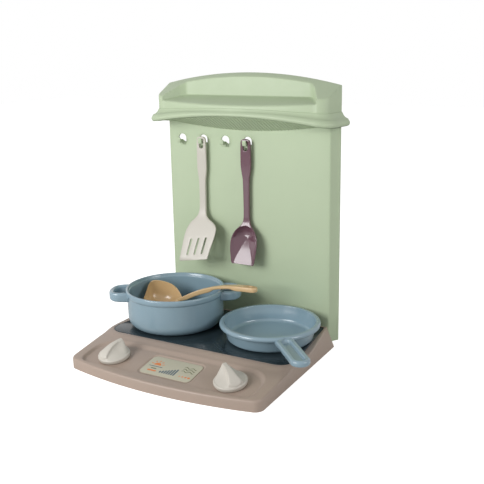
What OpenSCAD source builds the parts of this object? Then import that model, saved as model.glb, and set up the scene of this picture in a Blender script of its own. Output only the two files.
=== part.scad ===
// Tabletop play kitchen hob with a back panel, a hood shelf, pans and utensils.
// Millimetres. X to the right, Y to the back, Z up. The origin lies on the floor,
// on the centre line, in the plane of the back panel's front face.

/* [Base] */
// Half width of the base at its front corners
base_half_front = 168; // [160:1:172]
// Half width of the base at the back
base_half_rear = 161; // [156:1:164]
// Distance from the back panel to the front corners
base_depth = 265; // [255:1:275]
// How far the front edge bows out in the middle
front_bow = 20; // [12:1:26]
// Height of the front ridge
ridge_h = 16.5; // [15:0.5:18]
// Height of the hob surface above the floor
hob_top = 32; // [31:0.5:33]
// Wall thickness of the moulded shells
wall = 2.4; // [2:0.1:2.8]

/* [Controls] */
// Slope of the control surface in degrees
slope = 9.8; // [8:0.1:11]
// Distance of each knob from the centre line
knob_x = 104.4; // [98:0.2:110]
// Diameter of a knob
knob_d = 49.6; // [44:0.2:52]
// Height of a knob's fin above the control surface
knob_h = 25; // [20:0.5:27]
// Width of the printed label
label_w = 89.6; // [80:0.2:92]
// Depth of the printed label from front to back
label_d = 46; // [40:0.5:47]

/* [Back panel and hood] */
// Width of the flat front of the back panel
panel_w = 300; // [296:1:304]
// Depth of the panel's side returns
return_d = 19; // [15:1:20]
// Height of the top of the hood at its middle
hood_top = 438.7; // [432:0.1:442]
// Height of the tops of the hook openings
hook_z = 336; // [332:1:338]
// Distance between neighbouring hooks
hook_pitch = 42.65; // [40:0.05:44]

/* [Pot and pan] */
// Outer radius of the pot at its rim
pot_r = 82; // [78:0.5:84]
// Height of the pot
pot_h = 62.4; // [55:0.2:70]
// Outer radius of the pan at its rim
pan_r = 79.8; // [76:0.2:82]
// Height of the pan
pan_h = 29; // [26:0.5:34]

/* [Hidden] */
$fn = 96;

taupe = "#a3938a";
green = "#b9c6ab";
blue = "#8aa2b0";
cream = "#e2ded2";

gap = 0.3;                       // clearance between pieces that move apart
hob_thick = 3;
hob_half_front = 165;
hob_half_rear = 144.5;
hob_front_y = -175;
hob_rear_y = -3;
hob_corner = 25;

knob_y = -235;                   // knob centres, front to back
control_z = 17.9;                // height of the basin floor at the knobs
stem_r = 5;
stem_len = 10.4;
running = 0.05;                  // radial clearance of a turning stem
left_turn = 68;                  // direction of each knob's fin peak, from +X
right_turn = 144;

screw_r = 1.5;
screw_hole_r = 1.6;
panel_bottom = 6;
panel_top = 378;
panel_thick = 2.5;
neck_z = 358.2;                  // the panel narrows to a tongue above this
hook_first_x = -124.1;
hook_hole_w = 15;
hook_hole_h = 13;
hook_w = 7;
hook_bar_r = 2.5;                // round bar that carries a utensil's eye
hook_bar_drop = 11.2;            // from the opening's top down to the bar's centre

pot_c = [-85.8, -92.8];
pan_c = [87.1, -83.7];
pan_turn = -46.2;                // direction of the pan's handle, from +X
pot_turn = 30;                   // direction of the pot's handles, from +X
ware_z = hob_top + gap;          // underside of the pot and the pan

// ---------------------------------------------------------------- helpers

// Points on an arc from angle a0 to a1 in n steps
function arc(c, r, a0, a1, n) =
    [for (i = [0 : n]) let (a = a0 + (a1 - a0) * i / n) [c[0] + r * cos(a), c[1] + r * sin(a)]];

function mirror_x(pts) = [for (i = [len(pts) - 1 : -1 : 0]) [-pts[i][0], pts[i][1]]];
function mix(a, b, t) = a + (b - a) * t;
function clamp01(t) = min(1, max(0, t));
function ease(t) = let (u = clamp01(t)) u * u * (3 - 2 * u);
function unit(v) = v / norm(v);

// A closed solid through a list of rings that all have the same number of points
module skin(rings) {
    n = len(rings[0]);
    m = len(rings);
    points = [for (r = rings) each r];
    sides = [for (i = [0 : m - 2], j = [0 : n - 1])
        let (a = i * n + j, b = i * n + (j + 1) % n)
        each [[a, b, b + n], [a, b + n, a + n]]];
    first = [for (j = [n - 1 : -1 : 0]) j];
    last = [for (j = [0 : n - 1]) (m - 1) * n + j];
    polyhedron(points = points, faces = concat([first], sides, [last]), convexity = 8);
}

// A rounded rectangle w wide and h high round the origin, as a list of 12 points
function round_rect(w, h, r) = let (x = w / 2 - r, y = h / 2 - r) concat(
    arc([x, y], r, 0, 90, 2), arc([-x, y], r, 90, 180, 2),
    arc([-x, -y], r, 180, 270, 2), arc([x, -y], r, 270, 360, 2));

module slab(z, pts, t = 0.02) {
    translate([0, 0, z]) linear_extrude(t) polygon(pts);
}

// The pieces on the sloping control surface are drawn in its own flat frame
module on_controls() {
    translate([0, knob_y, control_z]) rotate([slope, 0, 0]) children();
}

module rounded_plate(w, d, r, t) {
    linear_extrude(t) polygon(round_plan(w / 2, -d / 2, d / 2, r, r));
}

// A rectangle with its own corner radius at the front and at the back
function round_plan(half, y0, y1, rf, rb) = let (right = concat(
    arc([half - rb, y1 - rb], rb, 90, 0, 5),
    arc([half - rf, y0 + rf], rf, 0, -90, 5)))
    concat(right, mirror_x(right));

// ------------------------------------------------------------------- base

// Base outline with a bowed front, drawn in by i all round except at the back
function base_plan(i) = let (
    hf = base_half_front - i, rc = 14 - i / 2,
    big = (hf * hf + front_bow * front_bow) / (2 * front_bow),
    yc = -base_depth + i - front_bow + big,
    a = asin((hf - rc) / (big - rc)),
    c = [hf - rc, yc - (big - rc) * cos(a)],
    right = concat([[base_half_rear - i, 0]], arc(c, rc, 0, a - 90, 4)),
    front = [for (k = [1 : 13]) let (t = a * (1 - k / 7)) [big * sin(t), yc - big * cos(t)]])
    concat(right, front, mirror_x(right));

// Upper outline of the base, drawn in by i, with its front edge at y
function shoulder_plan(i, y) = let (
    right = concat([[147 - i, 0], [172.5 - i, -112]], arc([137.5, -146], 35 - i, 0, -40, 3), [[120, y]]))
    concat(right, mirror_x(right));

module base_block() {
    hull() {
        slab(0, base_plan(0), 11.5);
        slab(14.6, base_plan(1.2));
        slab(ridge_h - 0.02, base_plan(4.5));
        slab(26, [[170.5, -190], [172.5, -146], [-172.5, -146], [-170.5, -190], [-158, -206], [158, -206]]);
        slab(hob_top - 4.5, shoulder_plan(0, -192));
        slab(hob_top - 1.6, shoulder_plan(1.6, -182));
        slab(hob_top - 0.02, shoulder_plan(5, -176));
    }
}

module base_cavity() {
    hull() {
        slab(-1, base_plan(wall), 11);
        slab(ridge_h - wall - 0.6, base_plan(wall + 4.2));
        slab(hob_top - hob_thick - wall, shoulder_plan(wall + 4, -186));
    }
}

// The shallow basin that holds the knobs and the label, grown by g on its solid side
module basin(g) {
    on_controls() hull() {
        slab(-g, round_plan(146 + g, -30 - g, 32 + g, 16, 30));
        slab(3.6 - g, round_plan(153 + g, -31.5 - g, 46 + g, 18, 38));
        slab(20, round_plan(155 + g, -34 - g, 56 + g, 18, 38));
    }
}

function hob_plan(g) = let (
    side = concat([[hob_half_rear + g, hob_rear_y + g]],
        arc([hob_half_front - hob_corner, hob_front_y + hob_corner], hob_corner + g, 5, -90, 7)))
    concat(side, mirror_x(side));

panel_screw_x = [-125, -60, 60, 125];
panel_screw_z = 16;

module base_shell() {
    color(taupe) difference() {
        union() {
            difference() {
                base_block();
                basin(0);
                translate([0, 0, hob_top - hob_thick]) linear_extrude(10) polygon(hob_plan(gap));
                difference() {
                    base_cavity();
                    basin(wall);
                    translate([-200, -wall, -5]) cube([400, 20, 60]);
                }
            }
            on_controls() for (s = [-1, 1]) translate([s * knob_x, 0, -7.6]) cylinder(r = 9, h = 6.2);
            for (x = panel_screw_x) translate([x, -0.5, panel_screw_z]) rotate([90, 0, 0]) cylinder(r = 4, h = 13);
            for (x = [-90, 0, 90]) translate([x - 1, -184, 18]) cube([2, 182, 9.5]);
        }
        on_controls() {
            for (s = [-1, 1]) translate([s * knob_x, 0, -9]) cylinder(r = stem_r + running, h = 12);
            translate([0, 2.9, 0]) hull() {
                slab(-1.2, round_plan(label_w / 2 + 1.5, -label_d / 2 - 1.5, label_d / 2 + 1.5, 9, 9));
                slab(0.5, round_plan(label_w / 2 + 4.5, -label_d / 2 - 4.5, label_d / 2 + 4.5, 12, 12));
            }
        }
        for (x = panel_screw_x) {
            translate([x, 1, panel_screw_z]) rotate([90, 0, 0]) cylinder(r = screw_hole_r, h = 12);
        }
    }
}

module hob_plate() {
    color("#27333a") translate([0, 0, hob_top - hob_thick + 0.02])
        linear_extrude(hob_thick - 0.02) polygon(hob_plan(0));
}

module control_label() {
    color("#e8e0cc") on_controls() translate([0, 2.9, -1.18]) rounded_plate(label_w, label_d, 7.5, 0.8);
}

// ------------------------------------------------------------------ knobs

// Across the knob at distance s from its axis towards the peak, the fin's section:
// a ridge whose hollow sides run out almost to the edge of the disc
fin_reach = knob_d / 2 - 3.2;
fin_peak = 17.5;                 // distance of the fin's peak from the knob's axis
function fin_ring(s) = let (
    t = clamp01((s + fin_reach) / (fin_reach + fin_peak)),
    base_w = 0.88 * sqrt(max(1, fin_reach * fin_reach - s * s)) + 0.6,
    top = s <= fin_peak ? mix(10.4, knob_h, pow(t, 0.95)) : mix(knob_h, 8.9, (s - fin_peak) / (fin_reach - fin_peak)),
    top_w = min(base_w - 0.3, mix(6.8, 3.4, t)),
    mid_w = mix(base_w, top_w, 0.62),
    z0 = 6)
    [[s, -base_w, z0], [s, base_w, z0], [s, base_w, z0 + 1.6],
     [s, mid_w, mix(z0 + 1.6, top, 0.34)], [s, top_w, top - 0.6],
     [s, top_w - 0.5, top], [s, -top_w + 0.5, top], [s, -top_w, top - 0.6],
     [s, -mid_w, mix(z0 + 1.6, top, 0.34)], [s, -base_w, z0 + 1.6]];

module knob() {
    r = knob_d / 2;
    difference() {
        union() {
            translate([0, 0, 0.4]) rotate_extrude() polygon(concat(
                [[0, 0], [r - 1.2, 0], [r - 0.2, 1], [r, 4.6]], arc([r - 2.6, 5], 2.6, 10, 90, 5), [[0, 7.6]]));
            skin([for (k = [10 : -1 : -10]) fin_ring(fin_reach * sin(9 * k))]);
            translate([0, 0, -stem_len]) cylinder(r = stem_r, h = stem_len + 2);
        }
        translate([0, 0, -stem_len - 1]) cylinder(r = screw_hole_r, h = 13);
    }
}

module at_knob(side, turn) {
    on_controls() translate([side * knob_x, 0, 0]) rotate([0, 0, turn]) children();
}

module knob_washer() {
    translate([0, 0, -stem_len - 1.2]) difference() {
        cylinder(r = 9, h = 1.2);
        translate([0, 0, -1]) cylinder(r = 1.7, h = 4);
    }
}

// A round-headed screw whose shank runs up +Z from the origin
module screw(length, head_r = 3.1, head_h = 2) {
    rotate_extrude() polygon(concat([[0, length], [screw_r, length], [screw_r, 0], [head_r, 0]],
        [[head_r, -0.6], [head_r * 0.75, -head_h * 0.85], [0.9, -head_h], [0.9, -head_h + 1], [0, -head_h + 1]]));
}

module knob_screw() {
    translate([0, 0, -stem_len - 1.2]) screw(11);
}

// ------------------------------------------------------------- back panel

module panel_section() {
    h = panel_w / 2;
    t = panel_thick;
    out = h + 10.4;
    right_out = concat([[out, return_d]], [[h + 1.4, 2.2]], [[h - 0.4, 0.5]], [[h - 1.8, 0]]);
    right_in = [[h - 2.6, t], [out - t - 0.4, return_d]];
    polygon(concat(right_out, mirror_x(right_out), mirror_x(right_in), right_in));
}

module hook_opening() {
    w = hook_hole_w;
    rotate([90, 0, 0]) linear_extrude(12, center = true) union() {
        translate([0, hook_z - w / 2]) circle(r = w / 2);
        translate([-w / 2, hook_z - hook_hole_h]) square([w, hook_hole_h - w / 2]);
    }
}

module hook_root() {
    hull() {
        translate([-hook_hole_w / 2, -0.5, hook_z - 18.5]) cube([hook_hole_w, 1, 5.5]);
        translate([-hook_w / 2, -3.8, hook_z - 17.6]) cube([hook_w, 1, 8.9]);
    }
}

module back_panel() {
    color(green) difference() {
        union() {
            difference() {
                translate([0, 0, panel_bottom]) linear_extrude(panel_top - panel_bottom) panel_section();
                for (s = [-1, 1]) translate([s * 167 - 19.5, -10, neck_z]) cube([39, 60, 60]);
                for (k = [0 : 3]) translate([hook_first_x + k * hook_pitch, 0, 0]) hook_opening();
            }
            for (k = [0 : 3]) translate([hook_first_x + k * hook_pitch, 0, 0]) {
                hook_root();
                hook_bar();
            }
        }
        for (x = panel_screw_x) translate([x, 8, panel_screw_z]) rotate([90, 0, 0]) cylinder(r = 1.8, h = 16);
        for (x = hood_screw_x) translate([x, 8, hood_screw_z]) rotate([90, 0, 0]) cylinder(r = 1.8, h = 16);
    }
}

// The hook's round bar, which passes through an eye, and its turned-up tip
module hook_bar() {
    translate([0, -3.3, hook_z - hook_bar_drop]) rotate([90, 0, 0]) cylinder(r = hook_bar_r, h = 7);
    translate([-hook_w / 2, 0, hook_z]) rotate([90, 0, 90]) linear_extrude(hook_w)
        polygon([[-9.3, -13.9], [-10.6, -14.2], [-11.9, -13.2], [-12.9, -10], [-13.2, -5.6], [-12.3, -4.9],
            [-11.3, -5.5], [-9.9, -8], [-9.3, -8.6]]);
}

module panel_screws() {
    color("silver") for (x = panel_screw_x)
        translate([x, panel_thick + 0.02, panel_screw_z]) rotate([90, 0, 0]) screw(12);
}

// ------------------------------------------------------------------- hood

hood_back_y = 19.1;
hood_r = 709;                     // radius of the arched top edge
top_fall = 25;                    // slope of the top surface, degrees
shelf_fall = 9;                   // slope of the shelf floor, degrees
hood_front_r = 668;               // radius of the bowed front, seen from above
hood_front_y = -45;
hood_base_z = 360;                // lower edge of the hood's side walls
hood_screw_x = [-100, 100];
hood_screw_z = 374;

// Outline of the hood from above, drawn in by i
function hood_plan(i) = let (
    yc = hood_front_y + hood_front_r,
    r = hood_front_r - i,
    a = asin(137 / hood_front_r),
    front = [for (k = [-8 : 8]) let (t = a * k / 8) [r * sin(t), yc - r * cos(t)]],
    right = [[150.5 - i * 0.8, -23 + i * 0.7], [156 - i, -12], [160.6 - i, hood_back_y + 1.5]])
    concat(mirror_x(right), front, right);

// Everything below the arched, forward-falling top surface, lowered by d
module under_top(d) {
    k = cos(top_fall);
    translate([0, hood_back_y, hood_top - d]) rotate([90 + top_fall, 0, 0])
        translate([0, -hood_r / k, -60]) cylinder(r = hood_r / k, h = 160, $fn = 200);
}

module shelf_recess(g) {
    difference() {
        linear_extrude(460) polygon([[-118.9 - g, 5.2 + g], [118.9 + g, 5.2 + g],
            [140.8 + g, -29.8], [145 + g, -80], [-145 - g, -80], [-140.8 - g, -29.8]]);
        translate([0, 5.2, 401 - g]) rotate([shelf_fall, 0, 0]) translate([-250, -200, -200]) cube([500, 300, 200]);
    }
}

module hood_body(i, low) {
    intersection() {
        translate([0, 0, low]) linear_extrude(460 - low) polygon(hood_plan(i));
        under_top(i);
    }
}

// The brim: a skirt that flares out and down round the front and both sides
brim_side_x = 160.6;
function brim_path(t) = let (
    u = abs(t), s = sign(t),
    a = asin(137 / hood_front_r),
    yc = hood_front_y + hood_front_r,
    front_t = clamp01(u / 0.8) * a)
    u <= 0.8 ? [s * hood_front_r * sin(front_t), yc - hood_front_r * cos(front_t), s * sin(front_t), -cos(front_t)]
    : u <= 0.9 ? let (w = (u - 0.8) / 0.1, f = 12 + 70 * w)
        [s * mix(137, 157.5, sin(90 * w)), mix(-31, -12, 1 - cos(90 * w)), s * sin(f), -cos(f)]
    : let (w = (u - 0.9) / 0.1) [s * mix(157.5, 160.4, w), mix(-12, hood_back_y + 6, w), s, 0];

function brim_ring(t) = let (
    p = brim_path(t),
    x = p[0], c = clamp01(abs(x) / 154),
    top = 385 - 5.6 * c * c,
    low = mix(372.8, 358.4, pow(c, 2)),
    out = mix(6, 14, pow(c, 1.5)),
    tip = low + mix(3.5, 5.2, c),
    n = [p[2], p[3]])
    [[x - 2.2 * n[0], p[1] - 2.2 * n[1], top + 0.6],
     [x + 0.3 * n[0], p[1] + 0.3 * n[1], top],
     [x + out * 0.22 * n[0], p[1] + out * 0.22 * n[1], mix(top, tip, 0.30)],
     [x + out * 0.72 * n[0], p[1] + out * 0.72 * n[1], mix(top, tip, 0.72)],
     [x + out * n[0], p[1] + out * n[1], tip],
     [x + (out - 0.4) * n[0], p[1] + (out - 0.4) * n[1], low + 1.2],
     [x + (out - 2) * n[0], p[1] + (out - 2) * n[1], low],
     [x - 2.2 * n[0], p[1] - 2.2 * n[1], low]];

module hood_shell() {
    color(green) difference() {
        union() {
            difference() {
                hood_body(0, hood_base_z);
                shelf_recess(0);
                difference() {
                    hood_body(wall, hood_base_z - 5);
                    shelf_recess(wall);
                }
                hood_arch();
            }
            skin([for (k = [30 : -1 : -30]) brim_ring(k / 30)]);
            for (x = hood_screw_x) translate([x, -0.1, hood_screw_z]) rotate([90, 0, 0]) cylinder(r = 4, h = 36);
        }
        for (x = hood_screw_x) translate([x, 1, hood_screw_z]) rotate([90, 0, 0]) cylinder(r = screw_hole_r, h = 16);
        translate([-200, hood_back_y, 300]) cube([400, 30, 200]);
    }
}

// The space under the arched lower edge of the hood's front
module hood_arch() {
    rise = 14.4;
    arch = [for (k = [-12 : 12]) let (x = k * 13) [x, hood_base_z + rise * (1 - pow(k / 12, 2))]];
    translate([0, -0.5, 0]) rotate([90, 0, 0]) linear_extrude(60)
        polygon(concat([[-156, hood_base_z - 9]], arch, [[156, hood_base_z - 9]]));
}

// The ribbed plate under the hood: a ruled surface from the panel up to the brim
soffit_pitch = 6;
function soffit_back_z(x) = 346.7 + 11.3 * pow(x / 137, 2);
function soffit_front_z(x) = 371.4 - 11.8 * pow(x / 150, 2);
function soffit_front_y(x) = hood_front_y + hood_front_r - sqrt(hood_front_r * hood_front_r - x * x) + 2.6;
function soffit_ring(x, d) = [
    [x, -0.1, soffit_back_z(x) + d], [x, soffit_front_y(x), soffit_front_z(x) + d],
    [x, soffit_front_y(x), soffit_front_z(x) + 2], [x, -0.1, soffit_back_z(x) + 2.4]];

module hood_soffit() {
    n = 23;
    color(green) skin(concat([soffit_ring(-143, 0)],
        [for (k = [-n : n]) each let (x = k * soffit_pitch)
            [soffit_ring(x - 1.6, 0), soffit_ring(x - 0.9, -1.1), soffit_ring(x + 0.9, -1.1), soffit_ring(x + 1.6, 0)]],
        [soffit_ring(143, 0)]));
}

module hood_screws() {
    color("silver") for (x = hood_screw_x)
        translate([x, panel_thick + 0.02, hood_screw_z]) rotate([90, 0, 0]) screw(12);
}

// -------------------------------------------------------------- pot and pan

// A D-shaped loop handle that stands out of a wall at radius r, drawn along +X
module loop_handle(r, reach, half, depth, height, z) {
    path = [for (k = [0 : 20]) let (a = -100 + 10 * k)
        [r - 4 + (reach - depth / 2 + 4) * pow(max(0, cos(a * 0.9)), 0.42),
         (half - depth / 2) * sin(a * 0.9)]];
    ring = round_rect(depth, height, min(depth, height) * 0.42);
    skin([for (k = [0 : 20]) let (
        p = path[k], a = path[max(0, k - 1)], b = path[min(20, k + 1)],
        t = unit([b[0] - a[0], b[1] - a[1]]), n = [t[1], -t[0]])
        [for (q = ring) [p[0] + n[0] * q[0], p[1] + n[1] * q[0], z + q[1]]]]);
}

module pot() {
    r = pot_r;
    h = pot_h;
    t = 2.4;
    color(blue) translate([pot_c[0], pot_c[1], ware_z]) difference() {
        union() {
            rotate_extrude() polygon(concat(
                [[0, 0]], arc([r - 19.6, 17], 17, -90, 0, 8),
                [[r - 1.6, h - 9.4], [r - 0.4, h - 8.8], [r, h - 7.8]],
                arc([r - 0.8, h - 0.8], 0.8, 0, 180, 4),
                [[r - 1.6, h - 4.4], [r - 3.2, h - 5.6], [r - 3.6, h - 12]],
                arc([r - 19.6, 17], 17 - t, 0, -90, 8), [[0, t]]));
            for (a = [0, 180]) rotate([0, 0, pot_turn + a]) intersection() {
                loop_handle(r - 2.4, 30, 27, 7.6, 16.5, 51);
                difference() {
                    translate([0, -60, 0]) cube([200, 120, 100]);
                    cylinder(r = r - 3, h = 200, center = true);
                }
            }
        }
    }
}

// The pan's handle along +X: two rails round a sunk channel, with a round end
module pan_handle() {
    w = 14.6;
    rail = 8.4;
    end = 153.4;
    root = pan_r - 6;
    difference() {
        union() {
            translate([0, 0, pan_h - 11.5]) linear_extrude(9.5) union() {
                translate([root, -w]) square([end - root, 2 * w]);
                translate([end, 0]) circle(r = w);
            }
            translate([root, 1.5, pan_h - 11]) rotate([90, 0, 0]) linear_extrude(3)
                polygon([[0, 0], [30, 0], [0, -13]]);
        }
        translate([0, 0, pan_h - 7.5]) linear_extrude(8) union() {
            translate([root + 12, -w + rail]) square([end - root - 12, 2 * (w - rail)]);
            translate([end, 0]) circle(r = w - rail);
            translate([root + 12, 0]) circle(r = w - rail);
        }
    }
}

module pan() {
    r = pan_r;
    h = pan_h;
    t = 2.4;
    color(blue) translate([pan_c[0], pan_c[1], ware_z]) union() {
        rotate_extrude() polygon(concat(
            [[0, 0]], arc([r - 17.6, 7], 7, -90, -15, 5), [[r - 7.2, h - 8.4]],
            arc([r - 4.2, h - 4.2], 4.2, -100, 90, 9), [[r - 6.6, h]],
            arc([r - 6.6, h - 1.2], 1.2, 90, 180, 3),
            [[r - 9.2, h - 9]], arc([r - 18.6, 8.4], 6, -5, -90, 5), [[0, t]]));
        difference() {
            rotate([0, 0, pan_turn]) pan_handle();
            translate([0, 0, -1]) cylinder(r = r - 6.5, h = 60);
        }
    }
}

// ---------------------------------------------------------------- utensils

// A bar section at a place: half width, thickness, and how far the middle is
// dished back from the edges. The ring runs along the front and returns behind.
function dish(half, thick, depth, flat) = let (us = [-1, -0.82, -0.5, 0, 0.5, 0.82, 1]) concat(
    [for (u = us) [half * u, depth * (1 - pow(abs(u), flat))]],
    [for (k = [6 : -1 : 0]) let (u = us[k])
        [(half + 0.01) * u * (1 + 0.02 * depth), depth * (1 - pow(abs(u), flat)) + thick * (abs(u) > 0.99 ? 0.55 : 1)]]);

// Rings for a hanging utensil: stations are [z, y, half, thick, depth]
function hanging_rings(x, stations, flat) = [for (s = stations)
    [for (q = dish(s[2], s[3], s[4], flat)) [x + q[0], s[1] + q[1], s[0]]]];

// The same for a utensil that is flat all the way: its rings are rounded bars
function flat_rings(x, stations) = [for (s = stations)
    [for (q = round_rect(2 * s[2], s[3], s[3] * 0.38)) [x + q[0], s[1] + s[3] / 2 + q[1], s[0]]]];

module eye(x, z) {
    translate([x, 0, 0]) rotate([90, 0, 0]) linear_extrude(40, center = true) union() {
        translate([0, z + 3]) circle(r = 4);
        translate([0, z - 3]) circle(r = 4);
        translate([-4, z - 3]) square([8, 6]);
    }
}

spatula_x = hook_first_x + hook_pitch;
spoon_x = hook_first_x + 3 * hook_pitch;
eye_z = hook_z - 8.4 - 7;         // the eye's top edge clears the hook by the gap
utensil_y = -8.6;                 // front face of a hanging handle

// [z, y, half width, thickness, dish], from the top down
spatula_line = [
    [333.4, utensil_y + 0.6, 4.6, 2.4, 0], [331.8, utensil_y, 7.2, 3.6, 0], [326, utensil_y, 8.6, 3.8, 0],
    [314, utensil_y, 8.9, 3.8, 0], [292, utensil_y, 9, 4, 0], [278, utensil_y, 9, 4.2, 0],
    [268, utensil_y, 7.6, 4.4, 0], [258, utensil_y, 6.2, 4.6, 0], [236, utensil_y, 6, 4.8, 0],
    [216, utensil_y - 0.6, 6, 4.8, 0], [206, utensil_y - 2, 6.6, 4.4, 0], [199, utensil_y - 4.4, 9, 3.8, 0],
    [194, utensil_y - 6.8, 14, 3.2, 0], [190, utensil_y - 8.8, 20, 2.8, 0], [184, utensil_y - 11.8, 26, 2.6, 0],
    [176, utensil_y - 15.8, 29.4, 2.5, 0], [164, utensil_y - 21.4, 29.6, 2.4, 0], [146, utensil_y - 29.2, 28.4, 2.3, 0],
    [131, utensil_y - 35.4, 27.4, 2.2, 0], [128, utensil_y - 36.6, 26, 1.8, 0]];

module spatula() {
    color(cream) difference() {
        skin(flat_rings(spatula_x, spatula_line));
        eye(spatula_x, eye_z);
        for (k = [-1 : 1]) translate([spatula_x + 14 * k - 3.4, -60, 137]) cube([6.8, 60, 38]);
    }
}

spoon_line = [
    [333, utensil_y + 0.6, 5, 2.4, 0], [331.4, utensil_y, 7.6, 3.6, 0], [326, utensil_y, 9, 3.8, 0],
    [312, utensil_y, 9.3, 4, 0], [292, utensil_y, 9.4, 4.2, 0], [278, utensil_y, 7.8, 4.4, 0],
    [266, utensil_y, 5.9, 4.6, 0], [240, utensil_y, 5.3, 4.8, 0], [210, utensil_y, 5.2, 5, 0],
    [198, utensil_y - 0.6, 5.8, 5, 0], [191, utensil_y - 2, 8.2, 4.4, 0.6], [185, utensil_y - 4.4, 14, 3.6, 2],
    [180, utensil_y - 6.6, 18.8, 3, 4.4], [172, utensil_y - 9, 23, 2.6, 8], [162, utensil_y - 11.4, 25, 2.4, 12],
    [150, utensil_y - 13.6, 24.8, 2.4, 15], [140, utensil_y - 15, 23.4, 2.4, 15], [132, utensil_y - 16, 21.8, 2.4, 12],
    [127.6, utensil_y - 16.4, 20.4, 2.4, 7], [125.6, utensil_y - 16.6, 18.8, 2.2, 3]];

module spoon() {
    color("#6e4f5f") difference() {
        skin(hanging_rings(spoon_x, spoon_line, 2.2));
        eye(spoon_x, eye_z);
    }
}

// The ladle lies in the pot: its bowl inside, its handle over the rim
ladle_root = [-90, -66, 60];
ladle_rise = [-28, -69, 105.4];              // pulls the handle up over the pot's rim
ladle_end = [60, -76, 105.5];
bowl_a = unit([-0.865, -0.428, 0.262]);      // from the root to the bowl's far end
bowl_n = unit([0.451, -0.436, 0.782]);       // out of the bowl's opening
bowl_w = cross(bowl_n, bowl_a);

function along_bowl(s, q) = ladle_root + bowl_a * s + bowl_w * q[0] - bowl_n * q[1];

bowl_stations = [
    [3, 7.5, 4.4, 1], [8, 13, 3.4, 5], [15, 20, 2.8, 13], [24, 25, 2.4, 20], [34, 27, 2.4, 24],
    [44, 26.8, 2.4, 24], [52, 25, 2.4, 20], [58, 22.4, 2.4, 13], [61.4, 20, 2.2, 6], [63, 17, 2, 2.4]];

module ladle_handle() {
    n = 16;
    path = [for (k = [0 : n]) let (t = k / n)
        (1 - t) * (1 - t) * (ladle_root + bowl_a * 6) + 2 * t * (1 - t) * ladle_rise + t * t * ladle_end];
    skin([for (k = [n : -1 : 0]) let (
        p = path[k], d = unit(path[min(n, k + 1)] - path[max(0, k - 1)]),
        side = unit(cross([0, 0, 1], d)), up = cross(d, side),
        w = k == 0 ? 8 : k == n ? 12 : mix(9.6, 15, ease((k / n - 0.45) / 0.4)),
        h = k == n ? 3 : 5.2)
        [for (q = round_rect(w, h, 1.4)) p + side * q[0] + up * q[1]]]);
}

module ladle() {
    color("#d3b483") difference() {
        union() {
            skin([for (s = bowl_stations) [for (q = dish(s[1], s[2], s[3], 2.6)) along_bowl(s[0], q)]]);
            ladle_handle();
        }
        translate([ladle_end[0] - 8, ladle_end[1], 90]) cylinder(r = 2.6, h = 30);
    }
}

// -------------------------------------------------------------------- nodes

base_shell();
hob_plate();
control_label();
color(cream) at_knob(-1, left_turn) knob();  // knob_left
color(cream) at_knob(1, right_turn) knob();  // knob_right
color("silver") at_knob(-1, 0) knob_washer();  // knob_washer_left
color("silver") at_knob(1, 0) knob_washer();  // knob_washer_right
color("gray") at_knob(-1, 0) knob_screw();  // knob_screw_left
color("gray") at_knob(1, 0) knob_screw();  // knob_screw_right
back_panel();
panel_screws();
hood_shell();
hood_soffit();
hood_screws();
pot();
pan();
ladle();
spatula();
spoon();
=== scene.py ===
import math

import bmesh
import bpy
from mathutils import Matrix, Vector, kdtree
from mathutils.geometry import delaunay_2d_cdt


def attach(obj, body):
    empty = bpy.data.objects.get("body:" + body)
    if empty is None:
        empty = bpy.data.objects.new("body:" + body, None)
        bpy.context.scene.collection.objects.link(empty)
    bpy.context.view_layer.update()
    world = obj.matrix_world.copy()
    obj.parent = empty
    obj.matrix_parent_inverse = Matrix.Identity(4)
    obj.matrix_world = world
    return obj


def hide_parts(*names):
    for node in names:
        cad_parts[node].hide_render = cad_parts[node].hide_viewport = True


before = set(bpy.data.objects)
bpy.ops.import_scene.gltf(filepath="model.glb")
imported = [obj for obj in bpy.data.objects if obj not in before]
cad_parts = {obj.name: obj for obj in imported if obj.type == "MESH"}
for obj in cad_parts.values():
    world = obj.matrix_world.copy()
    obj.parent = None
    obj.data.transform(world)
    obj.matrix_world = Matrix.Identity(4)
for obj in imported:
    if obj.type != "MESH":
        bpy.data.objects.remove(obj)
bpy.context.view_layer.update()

bl_info = {
    "name": "Tabletop play hob",
    "version": (1, 0, 0),
    "blender": (4, 5, 0),
    "location": "3D View > Sidebar > Play hob",
    "description": "Makes the visible pieces of a tabletop play hob round its packed CAD frame",
    "category": "Object",
}

# Sizes are in millimetres and are turned into metres when a mesh is made. The soffit's Geometry Nodes and
# the stage work in metres.
MM = 0.001

# ------------------------------------------------------------------ plain maths


def mix(a, b, t):
    """From a at t = 0 to b at t = 1."""
    return a + (b - a) * t


def clamp(t):
    return min(1.0, max(0.0, t))


def ease(t):
    """A smooth step from 0 to 1."""
    u = clamp(t)
    return u * u * (3 - 2 * u)


def arc(cx, cy, r, start, stop, n):
    """Points on an arc between two angles in degrees."""
    turns = [math.radians(mix(start, stop, i / n)) for i in range(n + 1)]
    return [(cx + r * math.cos(a), cy + r * math.sin(a)) for a in turns]


def mirrored(points):
    """The same points on the other side of the centre line, in reverse order."""
    return [(-p[0], *p[1:]) for p in reversed(points)]


def through(rows, n):
    """n + 1 rows on a smooth curve through the given rows of numbers."""
    last = len(rows) - 1
    out = []
    for k in range(n + 1):
        f = k / n * last
        i = min(int(f), last - 1)
        t = f - i
        a, b, c, d = (rows[min(last, max(0, i + j))] for j in (-1, 0, 1, 2))
        out.append(tuple(
            q + 0.5 * t * (r - p + t * (2 * p - 5 * q + 4 * r - s + t * (3 * (q - r) + s - p)))
            for p, q, r, s in zip(a, b, c, d)))
    return out


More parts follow.
